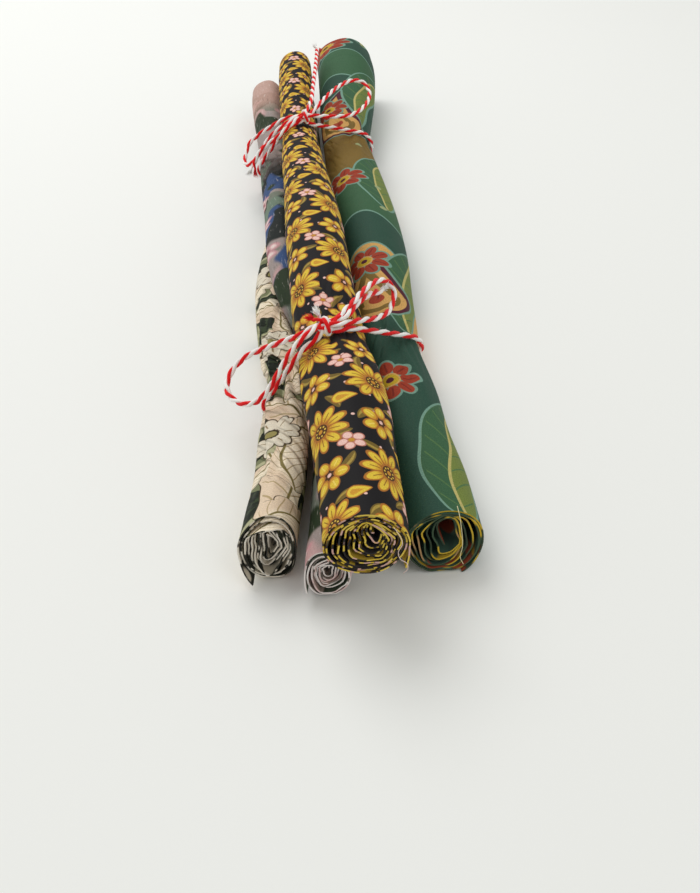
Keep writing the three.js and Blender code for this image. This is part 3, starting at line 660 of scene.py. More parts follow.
def build_roll(name, materials, seed, edge_wobble, recess, slant=0.0, lifts=()):
    wind = WINDING[name]
    table = np.array(wind["table"], float)
    rows = rows_of(name)
    base = ROLLS[name]["rows"]
    y0, y1 = rows[0], rows[-1]
    mean = math.sqrt(float(np.mean(base[:, 3])) * float(np.mean(base[:, 4])))
    # turns, with a step of about `thread` mm along the cloth
    t, turns = 0.0, [0.0]
    while t < table[-1, 0]:
        out = float(np.interp(t, table[:, 0], (table[:, 1] + table[:, 2]) / 2))
        step = wind.get("fine", 1.1) if t < 1.05 else wind["thread"]
        t += min(step / (2 * np.pi * mean * max(out, 0.12)), 1 / 20)
        turns.append(t)
    turns = np.array(turns)
    turns *= table[-1, 0] / turns[-1]
    wide, tall, tilt, dx, dz = hermite(table, turns).T
    rho = (wide + tall) / 2
    w = np.clip((1 - wide / tall) * 3 + np.abs(tilt) / 20, 0, 1)
    theta = math.radians(wind["start"]) + wind["way"] * 2 * np.pi * turns
    tilt = np.radians(tilt)
    grid = np.linspace(0, 2 * np.pi, 361)
    th = theta % (2 * np.pi)
    pts = np.empty((len(rows), len(turns), 3))
    for i, y in enumerate(rows):
        me, r = ring_radius(name, y, grid)
        r = r - crease_depth(name, grid, y, r) - 0.12 - 0.10 * waves(grid, y, seed + 1)
        z = me[1] + r * np.sin(grid)
        low = np.where(z < 1.6, np.maximum(z, 0) * 0.55 + 0.0, z)
        blend = np.clip((1.9 - z) / 1.9, 0, 1)
        z = z * (1 - blend) + low * blend
        z = np.maximum(z, CLOTH / 2 + 0.02)
        ox = np.interp(th, grid, r * np.cos(grid))
        oz = np.interp(th, grid, z - me[1])
        rx, rz = me[2], me[3]
        # an inner loop is a tilted ellipse; the outer ones follow the pressed section
        ex, ez = turned(rx * wide * np.cos(theta - tilt), rz * tall * np.sin(theta - tilt), tilt * 0.9)
        inner = np.clip((turns - 1.0) / 2.5, 0, 1)
        ripple = 1 + inner * (0.045 * waves(theta, y * 1.4 + 6 * turns, seed + 5, 5, 1, 5) - 0.05 * np.abs(np.sin(1.5 * theta + seed + 0.22 * turns + y / 60)) + 0.03)
        px = ((1 - w) * ox * wide + w * ex) * ripple + dx * rx
        pz = ((1 - w) * oz * tall + w * ez) * ripple + dz * rz
        depth = inner * np.clip(1.25 - 1.1 * rho, 0, 1)
        age = y / 90 + seed
        px, pz = (px + depth * (0.85 * np.sin(0.57 * pz + age) + 0.30 * np.sin(1.25 * (0.85 * pz + 0.5 * px) + 2.1 * age)),
                  pz + depth * (0.55 * np.sin(0.60 * px + 1.7 * age) + 0.25 * np.sin(1.3 * (0.8 * px - 0.5 * pz) + age)))
        x = me[0] + px
        zz = me[1] + pz
        # ends: the turns stop a little unevenly, the inner ones further in
        ends = np.exp(-(y - y0) / 9.0), np.exp(-(y1 - y) / 9.0)
        near = edge_wobble * (0.9 * waves(theta, 31 * np.floor(turns + 0.5) * 0 + 7 * turns, seed + 11, 6, 1, 4) + 0.35 * np.sin(turns * 9.1 + seed)) + recess * inner * (1 - rho)
        far = edge_wobble * (0.9 * waves(theta, 5 * turns, seed + 12, 6, 1, 4) + 0.35 * np.sin(turns * 7.7 + seed)) + recess * inner * (1 - rho)
        yy = y + (near + slant * (np.sin(theta) * 0.5 + 0.5)) * ends[0] - far * ends[1]
        for t0, t1, at_near, out_mm, along in lifts:
            # a loose flap near the end: turns t0 to t1 stand out by out_mm and reach `along` further
            bump = np.clip(1 - np.abs(turns - (t0 + t1) / 2) / ((t1 - t0) / 2), 0, 1) ** 0.8 if t0 > 0 else np.clip(1 - turns / t1, 0, 1) ** 1.3
            reach = np.exp(-((y - y0) / 7.0) ** 2) if at_near else np.exp(-((y1 - y) / 7.0) ** 2)
            d = np.hypot(px, pz)
            x = x + bump * reach * out_mm * px / d
            zz = zz + bump * reach * out_mm * pz / d
            yy = yy - bump * reach * along * (1 if at_near else -1)
        pts[i] = np.stack([x, yy, zz], -1)
    pts[..., 2] = np.maximum(pts[..., 2], CLOTH / 2 + 0.02)

    tangent = np.gradient(pts[..., [0, 2]], axis=1)
    normal = np.stack([tangent[..., 1], -tangent[..., 0]], -1) * wind["way"]
    normal /= np.maximum(np.linalg.norm(normal, axis=-1), 1e-9)[..., None]
    outer, inner_side = pts.copy(), pts.copy()
    half = CLOTH / 2 * (1 + 0.30 * np.exp(-(rows - y0) / 1.2) + 0.30 * np.exp(-(y1 - rows) / 1.2))[:, None, None]
    outer[..., [0, 2]] += normal * half
    inner_side[..., [0, 2]] -= normal * half
    outer[..., 2] = np.maximum(outer[..., 2], 0.02)
    inner_side[..., 2] = np.maximum(inner_side[..., 2], 0.02)
    m, n = len(rows), len(turns)
    verts = np.vstack([outer.reshape(-1, 3), inner_side.reshape(-1, 3)])
    i, j = np.meshgrid(np.arange(m - 1), np.arange(n - 1), indexing="ij")
    a = (i * n + j).ravel()
    face_out = np.stack([a, a + 1, a + n + 1, a + n], -1)
    face_in = np.stack([a, a + n, a + n + 1, a + 1], -1) + m * n
    off = m * n
    jj, ii = np.arange(n - 1), np.arange(m - 1)
    last = (m - 1) * n
    rim = np.vstack([np.stack([jj, jj + off, jj + 1 + off, jj + 1], -1),
                     np.stack([last + jj, last + jj + 1, last + jj + 1 + off, last + jj + off], -1),
                     np.stack([ii * n, (ii + 1) * n, (ii + 1) * n + off, ii * n + off], -1),
                     np.stack([ii * n + n - 1, ii * n + n - 1 + off, (ii + 1) * n + n - 1 + off, (ii + 1) * n + n - 1], -1)])
    faces = np.vstack([face_out, face_in, rim])
    if wind["way"] < 0:
        faces = faces[:, ::-1]
    mats = np.r_[np.zeros(len(face_out)), np.ones(len(face_in)), np.full(len(rim), 2)].astype(int)
    # the cloth's own coordinates, mm: along the winding from the outer edge, and along the roll
    mid = pts[m // 3]
    s = np.r_[0, np.cumsum(np.linalg.norm(np.diff(mid, axis=0), axis=1))]
    flat_uv = np.stack([np.broadcast_to(s[None], (m, n)), np.broadcast_to((rows - y0)[:, None], (m, n))], -1).reshape(-1, 2)
    flat_uv = np.vstack([flat_uv, flat_uv])
    sharp = np.zeros(len(verts), dtype=bool)
    border = np.zeros((m, n), dtype=bool)
    border[0] = border[-1] = True
    border[:, 0] = border[:, -1] = True
    sharp[:off] = border.ravel()
    sharp[off:] = border.ravel()
    obj = make_mesh(name + "_cloth", verts, faces, materials, mats, flat_uv[faces.ravel()], sharp=sharp)
    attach(obj, "root")
    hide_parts(name)
    print(name, "turns", round(float(turns[-1]), 1), "columns", n, "rows", m, "triangles", len(faces) * 2, "winding mm", round(float(s[-1])), "length mm", round(float(y1 - y0)))
    return obj, float(s[-1]), float(y1 - y0)


def turn(x, y, angle):
    c, s = (angle.cos(), angle.sin()) if isinstance(angle, Num) else (math.cos(angle), math.sin(angle))
    return x * c + y * s, y * c - x * s


def repeat(u, v, pu, pv, du=0.0, dv=0.0, drop=0.5):
    """Local coordinates in a repeat of pu by pv mm with dropped columns, and the column and row."""
    col = ((u - du) / pu + 0.5).floor()
    w = (v - dv) / pv + 0.5 - col.mod(2.0) * drop
    row = w.floor()
    return (u - du) - col * pu, (w - row - 0.5) * pv, col, row


def inside(d, soft=0.13):
    return d.step(soft, -soft)


def ellipse(x, y, cx, cy, a, b, tilt=0.0):
    """about the distance outside an ellipse"""
    qx, qy = turn(x - cx, y - cy, tilt)
    return (((qx / a).power(2.0) + (qy / b).power(2.0)).sqrt() - 1) * min(a, b)


def polar(x, y):
    return (x * x + y * y).sqrt(), atan2(y, x)


def petals(x, y, count, cx, cy, a, b, tilt):
    """A flower of notched petals, each a mirrored pair of ellipses: distance outside, petal number, place in the petal."""
    r, ang = polar(x, y)
    k = ang * (count / (2 * math.pi))
    which = (k + 0.5).floor()
    phi = (k - which) * (2 * math.pi / count)
    px, py = r * phi.cos(), (r * phi.sin()).abs()
    return ellipse(px, py, cx, cy, a, b, tilt), which, px, py, r, ang


def leaf(x, y, length, half, bend, lobes=0.0, depth=0.0):
    """A leaf along y with its spine bent sideways: distance outside, distance from the spine, place along it 0 to 1."""
    t = (y / length + 0.5)
    body = (t * (1 - t) * 4).max(0.0)
    xs = x - body * bend
    w = body.power(0.62) * half
    if lobes:
        w = w * ((t * (lobes * math.pi)).sin().abs() * depth + (1 - depth))
    return xs.abs() - w + body.below(0.0001) * 3.0, xs, t


def paisley(x, y, radius, length, bend):
    """About the distance outside a drop with a round foot at the origin and a bent tip at +y."""
    t = (y / length).max(0.0).min(1.0)
    xs = x - t * t * bend
    top = (xs.abs() - (1 - t.power(1.35)) * radius) * 0.86 + (y - length).max(0.0)
    foot = (x * x + y * y).sqrt() - radius
    up = y.above(0.0)
    return top * up + foot * (1 - up)


def cloth_finish(tree, shader, colour, uv_u, uv_v, crumple, wrinkles=(), grain=0.17):
    place = combine(tree, uv_u, uv_v)
    fine = noise(tree, place, 2.2, 2.0, 0.6)
    shade = tree.nodes.new("ShaderNodeMix")
    shade.data_type = "RGBA"
    shade.blend_type = "MULTIPLY"
    shade.inputs["Factor"].default_value = 1.0
    tone = fine.step(0.25, 0.75, 1 - grain, 1 + grain * 0.6)
    if isinstance(colour, tuple):
        shade.inputs[6].default_value = colour
    else:
        tree.links.new(colour, shade.inputs[6])
    tree.links.new(combine(tree, tone, tone, tone), shade.inputs[7])
    deep = tree.nodes.new("ShaderNodeGamma")
    deep.inputs["Gamma"].default_value = 1.14
    tree.links.new(shade.outputs[2], deep.inputs["Color"])
    tree.links.new(deep.outputs[0], shader.inputs["Base Color"])
    shader.inputs["Roughness"].default_value = 0.66
    shader.inputs["Specular IOR Level"].default_value = 0.14
    soft = noise(tree, combine(tree, uv_u * 0.055, uv_v * 0.035), 1.0, 3.0, 0.5, 0.4)
    height = soft * crumple + fine * 0.045
    # drag wrinkles that run slantwise out from under a tie: where along the cloth, their reach, depth and slant
    for i, (at_v, reach, deep, slant) in enumerate(wrinkles):
        away = uv_v - at_v
        side = away.above(0.0) * 2 - 1
        along, across = away * side, uv_u + away * slant
        ridge = noise(tree, combine(tree, across * 0.17, along * 0.030, 3.0 * i + side * 1.0), 1.0, 1.5, 0.45)
        fold = (ridge - 0.5).abs().step(0.0, 0.22)
        fold = fold * fold * (3 - fold * 2)
        height = height + fold * (along.step(0.0, reach, deep, 0.0))
    add_bump(tree, shader, height, 0.001)


def yellow_print(tree, u0, v0):
    wu = noise(tree, combine(tree, u0 * 0.028, v0 * 0.028, 3.0), 1.0, 1.0)
    wv = noise(tree, combine(tree, u0 * 0.028, v0 * 0.028, 9.0), 1.0, 1.0)
    u, v = u0 + wu * 6 - 3, v0 + wv * 6 - 3
    tan, gold, amber, pink = srgb(184, 124, 56), srgb(226, 198, 76), srgb(210, 158, 60), srgb(238, 200, 190)
    brown, olive = srgb(96, 66, 38), srgb(128, 108, 54)
    colour = srgb(36, 34, 36)
    # sprigs: a bent leaf each way
    x, y, c, r = repeat(u, v, 10.5, 15.3, du=4, dv=3)
    h = white(tree, combine(tree, c, r, 5.0))
    x, y = turn(x, y, h[0] * 6.28)
    d, xs, t = leaf(x, y, 9.6, 1.7, 1.1)
    colour = paint(tree, colour, olive, inside(d))
    colour = paint(tree, colour, srgb(176, 152, 78), inside(d + 0.55) * xs.above(0.1))
    # seed dots in the gaps
    x, y, c, r = repeat(u, v, 7.0, 9.2, du=2, dv=1)
    h = white(tree, combine(tree, c, r, 8.0))
    rr, ang = polar(x + h[0] * 2 - 1, y + h[1] * 2 - 1)
    colour = paint(tree, colour, pink, inside(rr - 0.55) * h[2].above(0.5))
    # small six-petalled gold blossoms
    x, y, c, r = repeat(u, v, 21, 46, dv=23)
    h = white(tree, combine(tree, c, r, 1.0))
    x, y = turn(x + h[0] * 2 - 1, y + h[1] * 2 - 1, h[2] * 6.28)
    d, which, px, py, rr, ang = petals(x, y, 6, 4.7, 0.0, 3.1, 2.35, 0.0)
    colour = paint(tree, colour, tan, inside(d))
    colour = paint(tree, colour, gold, inside(d + 0.55))
    colour = paint(tree, colour, amber, inside(d + 0.55) * px.step(4.6, 2.4))
    colour = paint(tree, colour, srgb(238, 214, 112), inside(py - 0.25) * inside(d + 1.0) * px.above(3.4))
    colour = paint(tree, colour, brown, inside(rr - 1.5))
    colour = paint(tree, colour, pink, inside(rr - 0.8))
    # large daisies of ten petals
    x, y, c, r = repeat(u, v, 21, 46)
    h = white(tree, combine(tree, c, r, 2.0))
    x, y = turn(x + h[0] * 1.6 - 0.8, y + h[1] * 1.6 - 0.8, h[2] * 6.28)
    d, which, px, py, rr, ang = petals(x, y, 10, 6.8, 0.0, 4.1, 2.05, 0.0)
    colour = paint(tree, colour, tan, inside(d))
    colour = paint(tree, colour, gold, inside(d + 0.5))
    colour = paint(tree, colour, amber, inside(d + 0.5) * px.step(6.6, 3.6))
    colour = paint(tree, colour, srgb(150, 100, 44), inside(py - 0.16) * inside(d + 0.5) * px.below(7.6))
    colour = paint(tree, colour, tan, inside(rr - 3.3))
    colour = paint(tree, colour, brown, inside(rr - 2.9))
    seed = ellipse(rr - 2.0, ((ang * (9 / (2 * math.pi))).fract() - 0.5) * 1.3, 0, 0, 0.36, 0.34)
    colour = paint(tree, colour, srgb(232, 200, 90), inside(seed))
    colour = paint(tree, colour, srgb(206, 150, 60), inside(rr - 0.9))
    # between them, pink five-petalled blossoms and gold buds in turn
    x, y, c, r = repeat(u, v, 21, 23, du=10.5, dv=11.5, drop=0.0)
    odd = (c + r).mod(2.0)
    h = white(tree, combine(tree, c, r, 3.0))
    fx, fy = turn(x + h[0] * 1.4 - 0.7, y + h[1] * 1.4 - 0.7, h[2] * 6.28)
    d, which, px, py, rr, ang = petals(fx, fy, 5, 2.8, 0.0, 2.0, 1.75, 0.0)
    colour = paint(tree, colour, srgb(196, 134, 120), inside(d) * (1 - odd))
    colour = paint(tree, colour, pink, inside(d + 0.4) * (1 - odd))
    colour = paint(tree, colour, srgb(200, 150, 60), inside(rr - 1.0) * (1 - odd))
    bx, by = turn(x, y, (c.mod(2.0) - 0.5) * 2.6 + h[0] * 0.8)
    d = paisley(bx, by + 1.2, 2.5, 5.4, 0.8)
    colour = paint(tree, colour, tan, inside(d - 0.45) * odd)
    colour = paint(tree, colour, gold, inside(d) * odd)
    colour = paint(tree, colour, amber, inside(d + 1.1) * odd)
    return colour


def green_print(tree, u0, v0):
    wu = noise(tree, combine(tree, u0 * 0.02, v0 * 0.02, 4.0), 1.0, 1.0)
    wv = noise(tree, combine(tree, u0 * 0.02, v0 * 0.02, 7.0), 1.0, 1.0)
    u, v = u0 + wu * 12 - 6, v0 + wv * 12 - 6
    aqua, teal, ochre, rust = srgb(128, 164, 148), srgb(56, 90, 76), srgb(212, 170, 104), srgb(168, 70, 46)
    burgundy, lime, mid, olive = srgb(94, 38, 56), srgb(128, 142, 76), srgb(72, 110, 80), srgb(136, 112, 56)
    # broad wavy bands across a teal ground
    edge = v + (u * 0.10 + 0.6).sin() * 11
    colour = teal
    for lo, hi, tone in ((116, 178, ochre), (214, 250, mid), (268, 332, olive), (404, 440, mid)):
        away = (edge - (lo + hi) / 2).abs() - (hi - lo) / 2
        colour = paint(tree, colour, aqua, inside(away - 0.7))
        colour = paint(tree, colour, tone, inside(away + 0.7))
    # great plain leaves with a pale vein and side veins
    x, y, c, r = repeat(u, v, 66, 118, du=18, dv=34)
    x, y = turn(x, y, 0.16 - c.mod(2.0) * 0.4)
    d, xs, t = leaf(x, y, 84, 11.0, 8.0)
    colour = paint(tree, colour, aqua, inside(d))
    colour = paint(tree, colour, lime, inside(d + 1.1))
    colour = paint(tree, colour, mid, inside(d + 1.1) * xs.above(0.0))
    veins = ((y - xs.abs() * 1.1) / 9.0).mod(1.0) - 0.5
    colour = paint(tree, colour, srgb(96, 128, 84), inside(veins.abs() * 8.0 - 0.4) * inside(d + 2.2))
    colour = paint(tree, colour, srgb(196, 186, 122), inside(xs.abs() - 0.55) * inside(d + 2.0))
    # paisleys: an ochre rim round a plain drop
    x, y, c, r = repeat(u, v, 66, 206, du=38, dv=152)
    x, y = turn(x * (1 - c.mod(2.0) * 2), y + 12, -0.35)
    d = paisley(x, y, 15.5, 40, -16)
    colour = paint(tree, colour, aqua, inside(d - 1.4))
    colour = paint(tree, colour, burgundy, inside(d - 0.2))
    colour = paint(tree, colour, ochre, inside(d + 2.0))
    colour = paint(tree, colour, olive, inside(d + 5.0))
    colour = paint(tree, colour, ochre, inside(d + 8.4))
    rr, ang = polar(x, y)
    colour = paint(tree, colour, rust, inside(rr - 3.4))
    # rust daisies of eight round petals
    x, y, c, r = repeat(u, v, 66, 98, du=44, dv=76)
    h = white(tree, combine(tree, c, r, 6.0))
    x, y = turn(x + h[0] * 6 - 3, y + h[1] * 8 - 4, h[2] * 3.0)
    d, which, px, py, rr, ang = petals(x, y, 8, 7.6, 0.0, 3.9, 2.75, 0.0)
    colour = paint(tree, colour, aqua, inside(d - 0.9))
    colour = paint(tree, colour, rust, inside(d))
    colour = paint(tree, colour, srgb(140, 52, 38), inside(py - 0.35) * inside(d + 0.8))
    colour = paint(tree, colour, ochre, inside(rr - 4.0))
    colour = paint(tree, colour, srgb(200, 172, 48), inside(rr - 3.2))
    colour = paint(tree, colour, burgundy, inside(rr - 1.5))
    # small pale berries
    x, y, c, r = repeat(u, v, 22, 29, du=7, dv=11)
    h = white(tree, combine(tree, c, r, 9.0))
    rr, ang = polar(x + h[0] * 5 - 2.5, y + h[1] * 5 - 2.5)
    berry = inside(rr - 1.9) * h[2].above(0.55)
    # darker and paler grains all over, as in a print on a coarse screen
    grain = noise(tree, combine(tree, u0 * 1.6, v0 * 1.6, 2.0), 1.0, 2.0, 0.7)
    colour = paint(tree, colour, srgb(166, 176, 132), berry)
    colour = paint(tree, colour, srgb(40, 60, 52), grain.step(0.48, 0.30, 0, 0.35))
    return paint(tree, colour, srgb(150, 160, 132), grain.step(0.60, 0.78, 0, 0.30))


def cream_print(tree, u0, v0):
    wu = noise(tree, combine(tree, u0 * 0.05, v0 * 0.05, 4.0), 1.0, 1.0)
    wv = noise(tree, combine(tree, u0 * 0.05, v0 * 0.05, 7.0), 1.0, 1.0)
    u, v = u0 + wu * 10 - 5, v0 + wv * 10 - 5
    brown, cream, dark = srgb(84, 66, 42), srgb(246, 234, 212), srgb(34, 42, 28)
    fleck = noise(tree, combine(tree, u * 0.3, v * 0.3, 1.0), 1.0, 2.0)
    colour = paint(tree, dark, srgb(66, 78, 54), fleck.step(0.5, 0.6))
    # olive leaves behind
    x, y, c, r = repeat(u, v, 15, 25, du=5, dv=9)
    h = white(tree, combine(tree, c, r, 1.0))
    x, y = turn(x, y, (h[0] - 0.5) * 2.6)
    d, xs, t = leaf(x, y, 24, 4.6, 3.6)
    colour = paint(tree, colour, srgb(34, 40, 30), inside(d - 0.3))
    colour = paint(tree, colour, srgb(134, 138, 104), inside(d + 0.15))
    colour = paint(tree, colour, srgb(186, 184, 150), inside(d + 0.9) * xs.above(0.1))
    # two sets of curled cream leaves
    for n, (pu, pv, du, dv, length, half, bend, lobes, lean) in enumerate(((22, 40, 0, 0, 40, 8.6, 7.0, 0.0, 0.45), (24, 46, 11, 20, 43, 10.2, -9.0, 6.0, -0.5))):
        x, y, c, r = repeat(u, v, pu, pv, du=du, dv=dv)
        h = white(tree, combine(tree, c, r, 11.0 + n))
        x, y = turn(x, y, (h[0] - 0.5) * 1.2 + lean)
        d, xs, t = leaf(x, y, length, half, bend, lobes, 0.30)
        colour = paint(tree, colour, brown, inside(d))
        colour = paint(tree, colour, cream, inside(d + 0.38))
        colour = paint(tree, colour, srgb(230, 210, 186), inside(d + 0.38) * xs.step(0.6, -2.8))
        colour = paint(tree, colour, srgb(150, 146, 118), inside(d + 0.38) * d.step(-2.6, -0.6, 0, 0.55) * xs.above(0.0))
        rib = ((y - xs.abs() * 1.3) / (length / (lobes * 2.0 or 4.5)) + 0.1 * n).mod(1.0) - 0.5
        colour = paint(tree, colour, srgb(186, 166, 128), inside(rib.abs() * 3.6 - 0.20) * inside(d + 1.1))
        colour = paint(tree, colour, srgb(140, 128, 82), inside(xs.abs() - 0.42) * inside(d + 0.38))
    # open round flowers here and there
    x, y, c, r = repeat(u, v, 34, 66, du=20, dv=52)
    d, which, px, py, rr, ang = petals(x, y, 7, 6.4, 1.1, 4.0, 2.3, 0.1)
    colour = paint(tree, colour, brown, inside(d))
    colour = paint(tree, colour, srgb(228, 220, 202), inside(d + 0.35))
    colour = paint(tree, colour, srgb(150, 128, 92), inside(py - 0.2) * inside(d + 1.0))
    colour = paint(tree, colour, srgb(160, 150, 96), inside(rr - 2.2))
    return colour


def painterly_print(tree, u0, v0):
    wu = noise(tree, combine(tree, u0 * 0.05, v0 * 0.04, 14.0), 1.0, 2.0)
    wv = noise(tree, combine(tree, u0 * 0.05, v0 * 0.04, 17.0), 1.0, 2.0)
    u, v = u0 + wu * 16 - 8, v0 + wv * 16 - 8

    def patch(seed, su, sv, lo, hi):
        return noise(tree, combine(tree, u * su, v * sv, seed), 1.0, 1.0, 0.4).step(lo, hi)
    colour = srgb(168, 156, 152)
    colour = paint(tree, colour, srgb(206, 170, 168), patch(1.0, 0.045, 0.03, 0.50, 0.58))
    colour = paint(tree, colour, srgb(128, 134, 122), patch(5.0, 0.04, 0.035, 0.52, 0.56))
    # a dark stretch, v from 150 to 330 mm, with blue and grey green in it
    stretch = (v - 235).abs().step(100, 60)
    colour = paint(tree, colour, srgb(34, 42, 40), patch(9.0, 0.035, 0.024, 0.42, 0.46) * stretch)
    colour = paint(tree, colour, srgb(66, 92, 136), patch(12.0, 0.06, 0.03, 0.56, 0.60) * stretch)
    colour = paint(tree, colour, srgb(120, 138, 122), patch(15.0, 0.05, 0.03, 0.60, 0.63) * stretch)
    colour = paint(tree, colour, srgb(54, 68, 46), patch(19.0, 0.05, 0.04, 0.56, 0.60))
    # loose soft petals
    x, y, c, r = repeat(u, v, 24, 37, du=3, dv=8)
    h = white(tree, combine(tree, c, r, 21.0))
    x, y = turn(x, y, h[0] * 6.28)
    d, which, px, py, rr, ang = petals(x, y, 5, 4.6, 0.4, 4.0, 2.9, 0.0)
    some = h[1].above(0.35)
    colour = paint(tree, colour, srgb(216, 160, 166), d.step(0.5, -1.2, 0, 0.8) * some)
    colour = paint(tree, colour, srgb(238, 222, 216), d.step(-0.8, -2.6, 0, 0.9) * some)
    colour = paint(tree, colour, srgb(150, 70, 84), rr.step(3.2, 0.6, 0, 0.9) * some)
    # the far 45 mm or so are a plain rose grey
    colour = paint(tree, colour, srgb(206, 172, 160), v.step(388, 412, 0, 0.8))
    stroke = noise(tree, combine(tree, u0 * 0.9, v0 * 0.12, 3.0), 1.0, 3.0, 0.6)
    colour = paint(tree, colour, srgb(235, 228, 224), stroke.step(0.58, 0.72, 0, 0.35))
    return paint(tree, colour, srgb(40, 40, 44), stroke.step(0.42, 0.30, 0, 0.30))


def printed(name, design, crumple, wrinkles=()):
    mat, tree, shader = new_material(name)
    u, v, _ = cloth_uv(tree)
    cloth_finish(tree, shader, design(tree, u, v), u, v, crumple, wrinkles)
    return mat


def mottled(name, colours, size, gloss=0.75, last=0.53):
    """Patches of a few colours: the print as it shows through on the reverse, or cut across on a raw edge."""
    mat, tree, shader = new_material(name)
    u, v, _ = cloth_uv(tree)
    colour = colours[0]
    for i, c in enumerate(colours[1:]):
        n = noise(tree, combine(tree, u / size[0], v / size[1], 3.7 * i + 1.3), 1.0, 1.0, 0.5)
        low = last if i == len(colours) - 2 else 0.53
        colour = paint(tree, colour, c, n.step(low, low + 0.04))
    tree.links.new(colour, shader.inputs["Base Color"])
    shader.inputs["Roughness"].default_value = gloss
    shader.inputs["Specular IOR Level"].default_value = 0.25
    return mat


PRINTS = {
    "roll_yellow": [
        printed("yellow_face", yellow_print, 0.6, [(104, 60, 0.35, 0.25), (332, 60, 0.3, -0.2)]),
        mottled("yellow_reverse", [srgb(48, 45, 46), srgb(156, 128, 44), srgb(52, 48, 48), srgb(184, 156, 54), srgb(46, 44, 46)], (7, 9)),
        mottled("yellow_edge", [srgb(44, 39, 37), srgb(214, 182, 62), srgb(40, 36, 36), srgb(222, 194, 84), srgb(212, 170, 158)], (4.6, 400), last=0.60)],
    "roll_green": [
        printed("green_face", green_print, 0.9, [(101, 75, 0.4, 0.3), (322, 80, 0.5, -0.3)]),
        mottled("green_reverse", [srgb(58, 82, 72), srgb(176, 148, 46), srgb(96, 128, 112), srgb(160, 74, 50), srgb(64, 92, 78)], (16, 30)),
        mottled("green_edge", [srgb(64, 84, 62), srgb(200, 168, 44), srgb(176, 140, 96), srgb(54, 68, 50), srgb(208, 176, 54)], (22, 400), last=0.58)],
    "roll_cream": [
        printed("cream_face", cream_print, 1.4, [(88, 100, 1.9, 0.75), (330, 50, 1.0, -0.5)]),
        mottled("cream_reverse", [srgb(176, 168, 150), srgb(44, 48, 38), srgb(214, 206, 190), srgb(38, 40, 32), srgb(206, 198, 180)], (8, 14)),
        mottled("cream_edge", [srgb(226, 218, 202), srgb(52, 54, 44), srgb(236, 230, 218), srgb(44, 44, 38), srgb(232, 226, 212)], (6.6, 400), last=0.60)],
    "roll_painterly": [
        printed("painterly_face", painterly_print, 1.0, [(102, 60, 0.8, 0.5), (326, 80, 0.9, -0.5)]),
        mottled("painterly_reverse", [srgb(186, 160, 150), srgb(40, 46, 40), srgb(206, 178, 168), srgb(74, 86, 68), srgb(158, 142, 132)], (12, 24)),
        mottled("painterly_edge", [srgb(232, 220, 216), srgb(224, 196, 192), srgb(120, 112, 104), srgb(236, 228, 224)], (8, 400))],
}
SHAPES = {
    "roll_yellow": dict(seed=3, edge_wobble=1.1, recess=2.0, lifts=[(0, 0.09, True, 3.4, 1.2)]),
    "roll_green": dict(seed=11, edge_wobble=1.3, recess=2.4, slant=4.2, lifts=[(0, 0.10, True, 1.2, 0.5)]),
    "roll_cream": dict(seed=23, edge_wobble=1.7, recess=4.0, slant=3.0, lifts=[(0, 0.12, True, 0.6, 4.0), (2.25, 2.6, True, -0.5, 5.0), (4.75, 5.15, True, -0.3, 3.5)]),
    "roll_painterly": dict(seed=31, edge_wobble=1.3, recess=3.2, lifts=[(0, 0.10, True, 0.8, 2.0), (1.35, 1.75, True, 0.2, 2.5)]),
}
for name, shape in SHAPES.items():
    cloth, wound, long = build_roll(name, PRINTS[name], **shape)


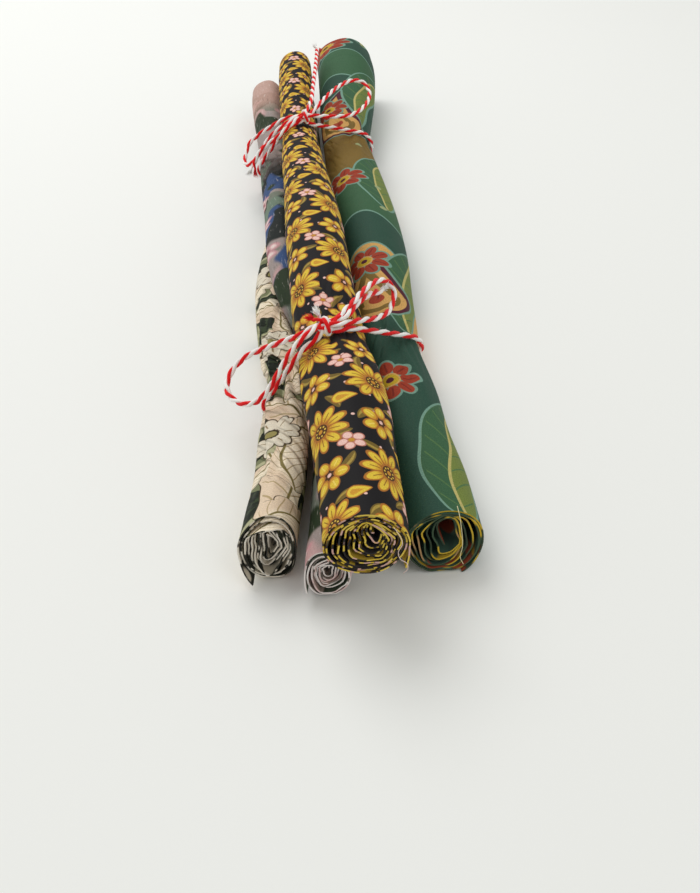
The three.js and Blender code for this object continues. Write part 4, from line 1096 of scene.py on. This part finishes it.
# a loose thread hangs across the green roll's near end, and another curls at the yellow one's
drop = smooth_path([(32.3, -207.0, 26.2), (32.4, -211.6, 25.2), (32.9, -214.6, 20.4), (33.3, -214.9, 15.0), (32.9, -214.9, 10.6), (34.2, -215.0, 7.4)], 0.8)
v, f = tube_arrays(drop, 0.12, 6)
thread_mat, thread_tree, thread_shader = new_material("loose_thread")
thread_shader.inputs["Base Color"].default_value = srgb(232, 222, 176)
thread_shader.inputs["Roughness"].default_value = 0.7
thread = make_mesh("loose_thread", v, f, [thread_mat])
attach(thread, "root")
drop = smooth_path([(8.0, -230.6, 41.0), (9.6, -231.4, 38.6), (10.6, -231.9, 35.4), (9.4, -232.1, 32.2), (10.2, -232.0, 29.0), (12.2, -231.8, 27.0), (12.6, -231.6, 24.2), (11.2, -231.8, 22.6)], 0.7)
v, f = tube_arrays(drop, 0.11, 6)
pink_mat, pink_tree, pink_shader = new_material("pale_thread")
pink_shader.inputs["Base Color"].default_value = srgb(236, 210, 202)
pink_shader.inputs["Roughness"].default_value = 0.7
curl = make_mesh("loose_thread_yellow", v, f, [pink_mat])
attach(curl, "root")

# ---------------------------------------------------------------------------------------------------------------------
# Floor and light
# ---------------------------------------------------------------------------------------------------------------------
def make_stage():
    mesh = bpy.data.meshes.new("floor")
    s = 6.0
    mesh.from_pydata([(-s, -s, 0), (s, -s, 0), (s, s, 0), (-s, s, 0)], [], [(0, 1, 2, 3)])
    mat, tree, shader = new_material("floor_paper")
    shader.inputs["Base Color"].default_value = srgb(238, 239, 236)
    shader.inputs["Roughness"].default_value = 0.7
    mesh.materials.append(mat)
    obj = bpy.data.objects.new("floor", mesh)
    bpy.context.scene.collection.objects.link(obj)

    def area(name, place, target, size, power):
        light = bpy.data.lights.new(name, "AREA")
        light.shape = "RECTANGLE"
        light.size, light.size_y = size
        light.energy = power
        o = bpy.data.objects.new(name, light)
        o.location = place
        o.rotation_euler = (Vector(target) - Vector(place)).to_track_quat("-Z", "Y").to_euler()
        bpy.context.scene.collection.objects.link(o)
    area("key", (-0.55, 0.75, 1.35), (0, 0, 0), (1.3, 1.1), 15)
    area("fill", (0.9, -0.7, 1.3), (0, 0, 0), (1.2, 1.2), 4)
    world = bpy.data.worlds.new("studio")
    world.use_nodes = True
    world.node_tree.nodes["Background"].inputs[0].default_value = (0.985, 0.985, 0.955, 1)
    world.node_tree.nodes["Background"].inputs[1].default_value = 0.55
    bpy.context.scene.world = world
    bpy.context.scene.view_settings.view_transform = "Standard"


make_stage()
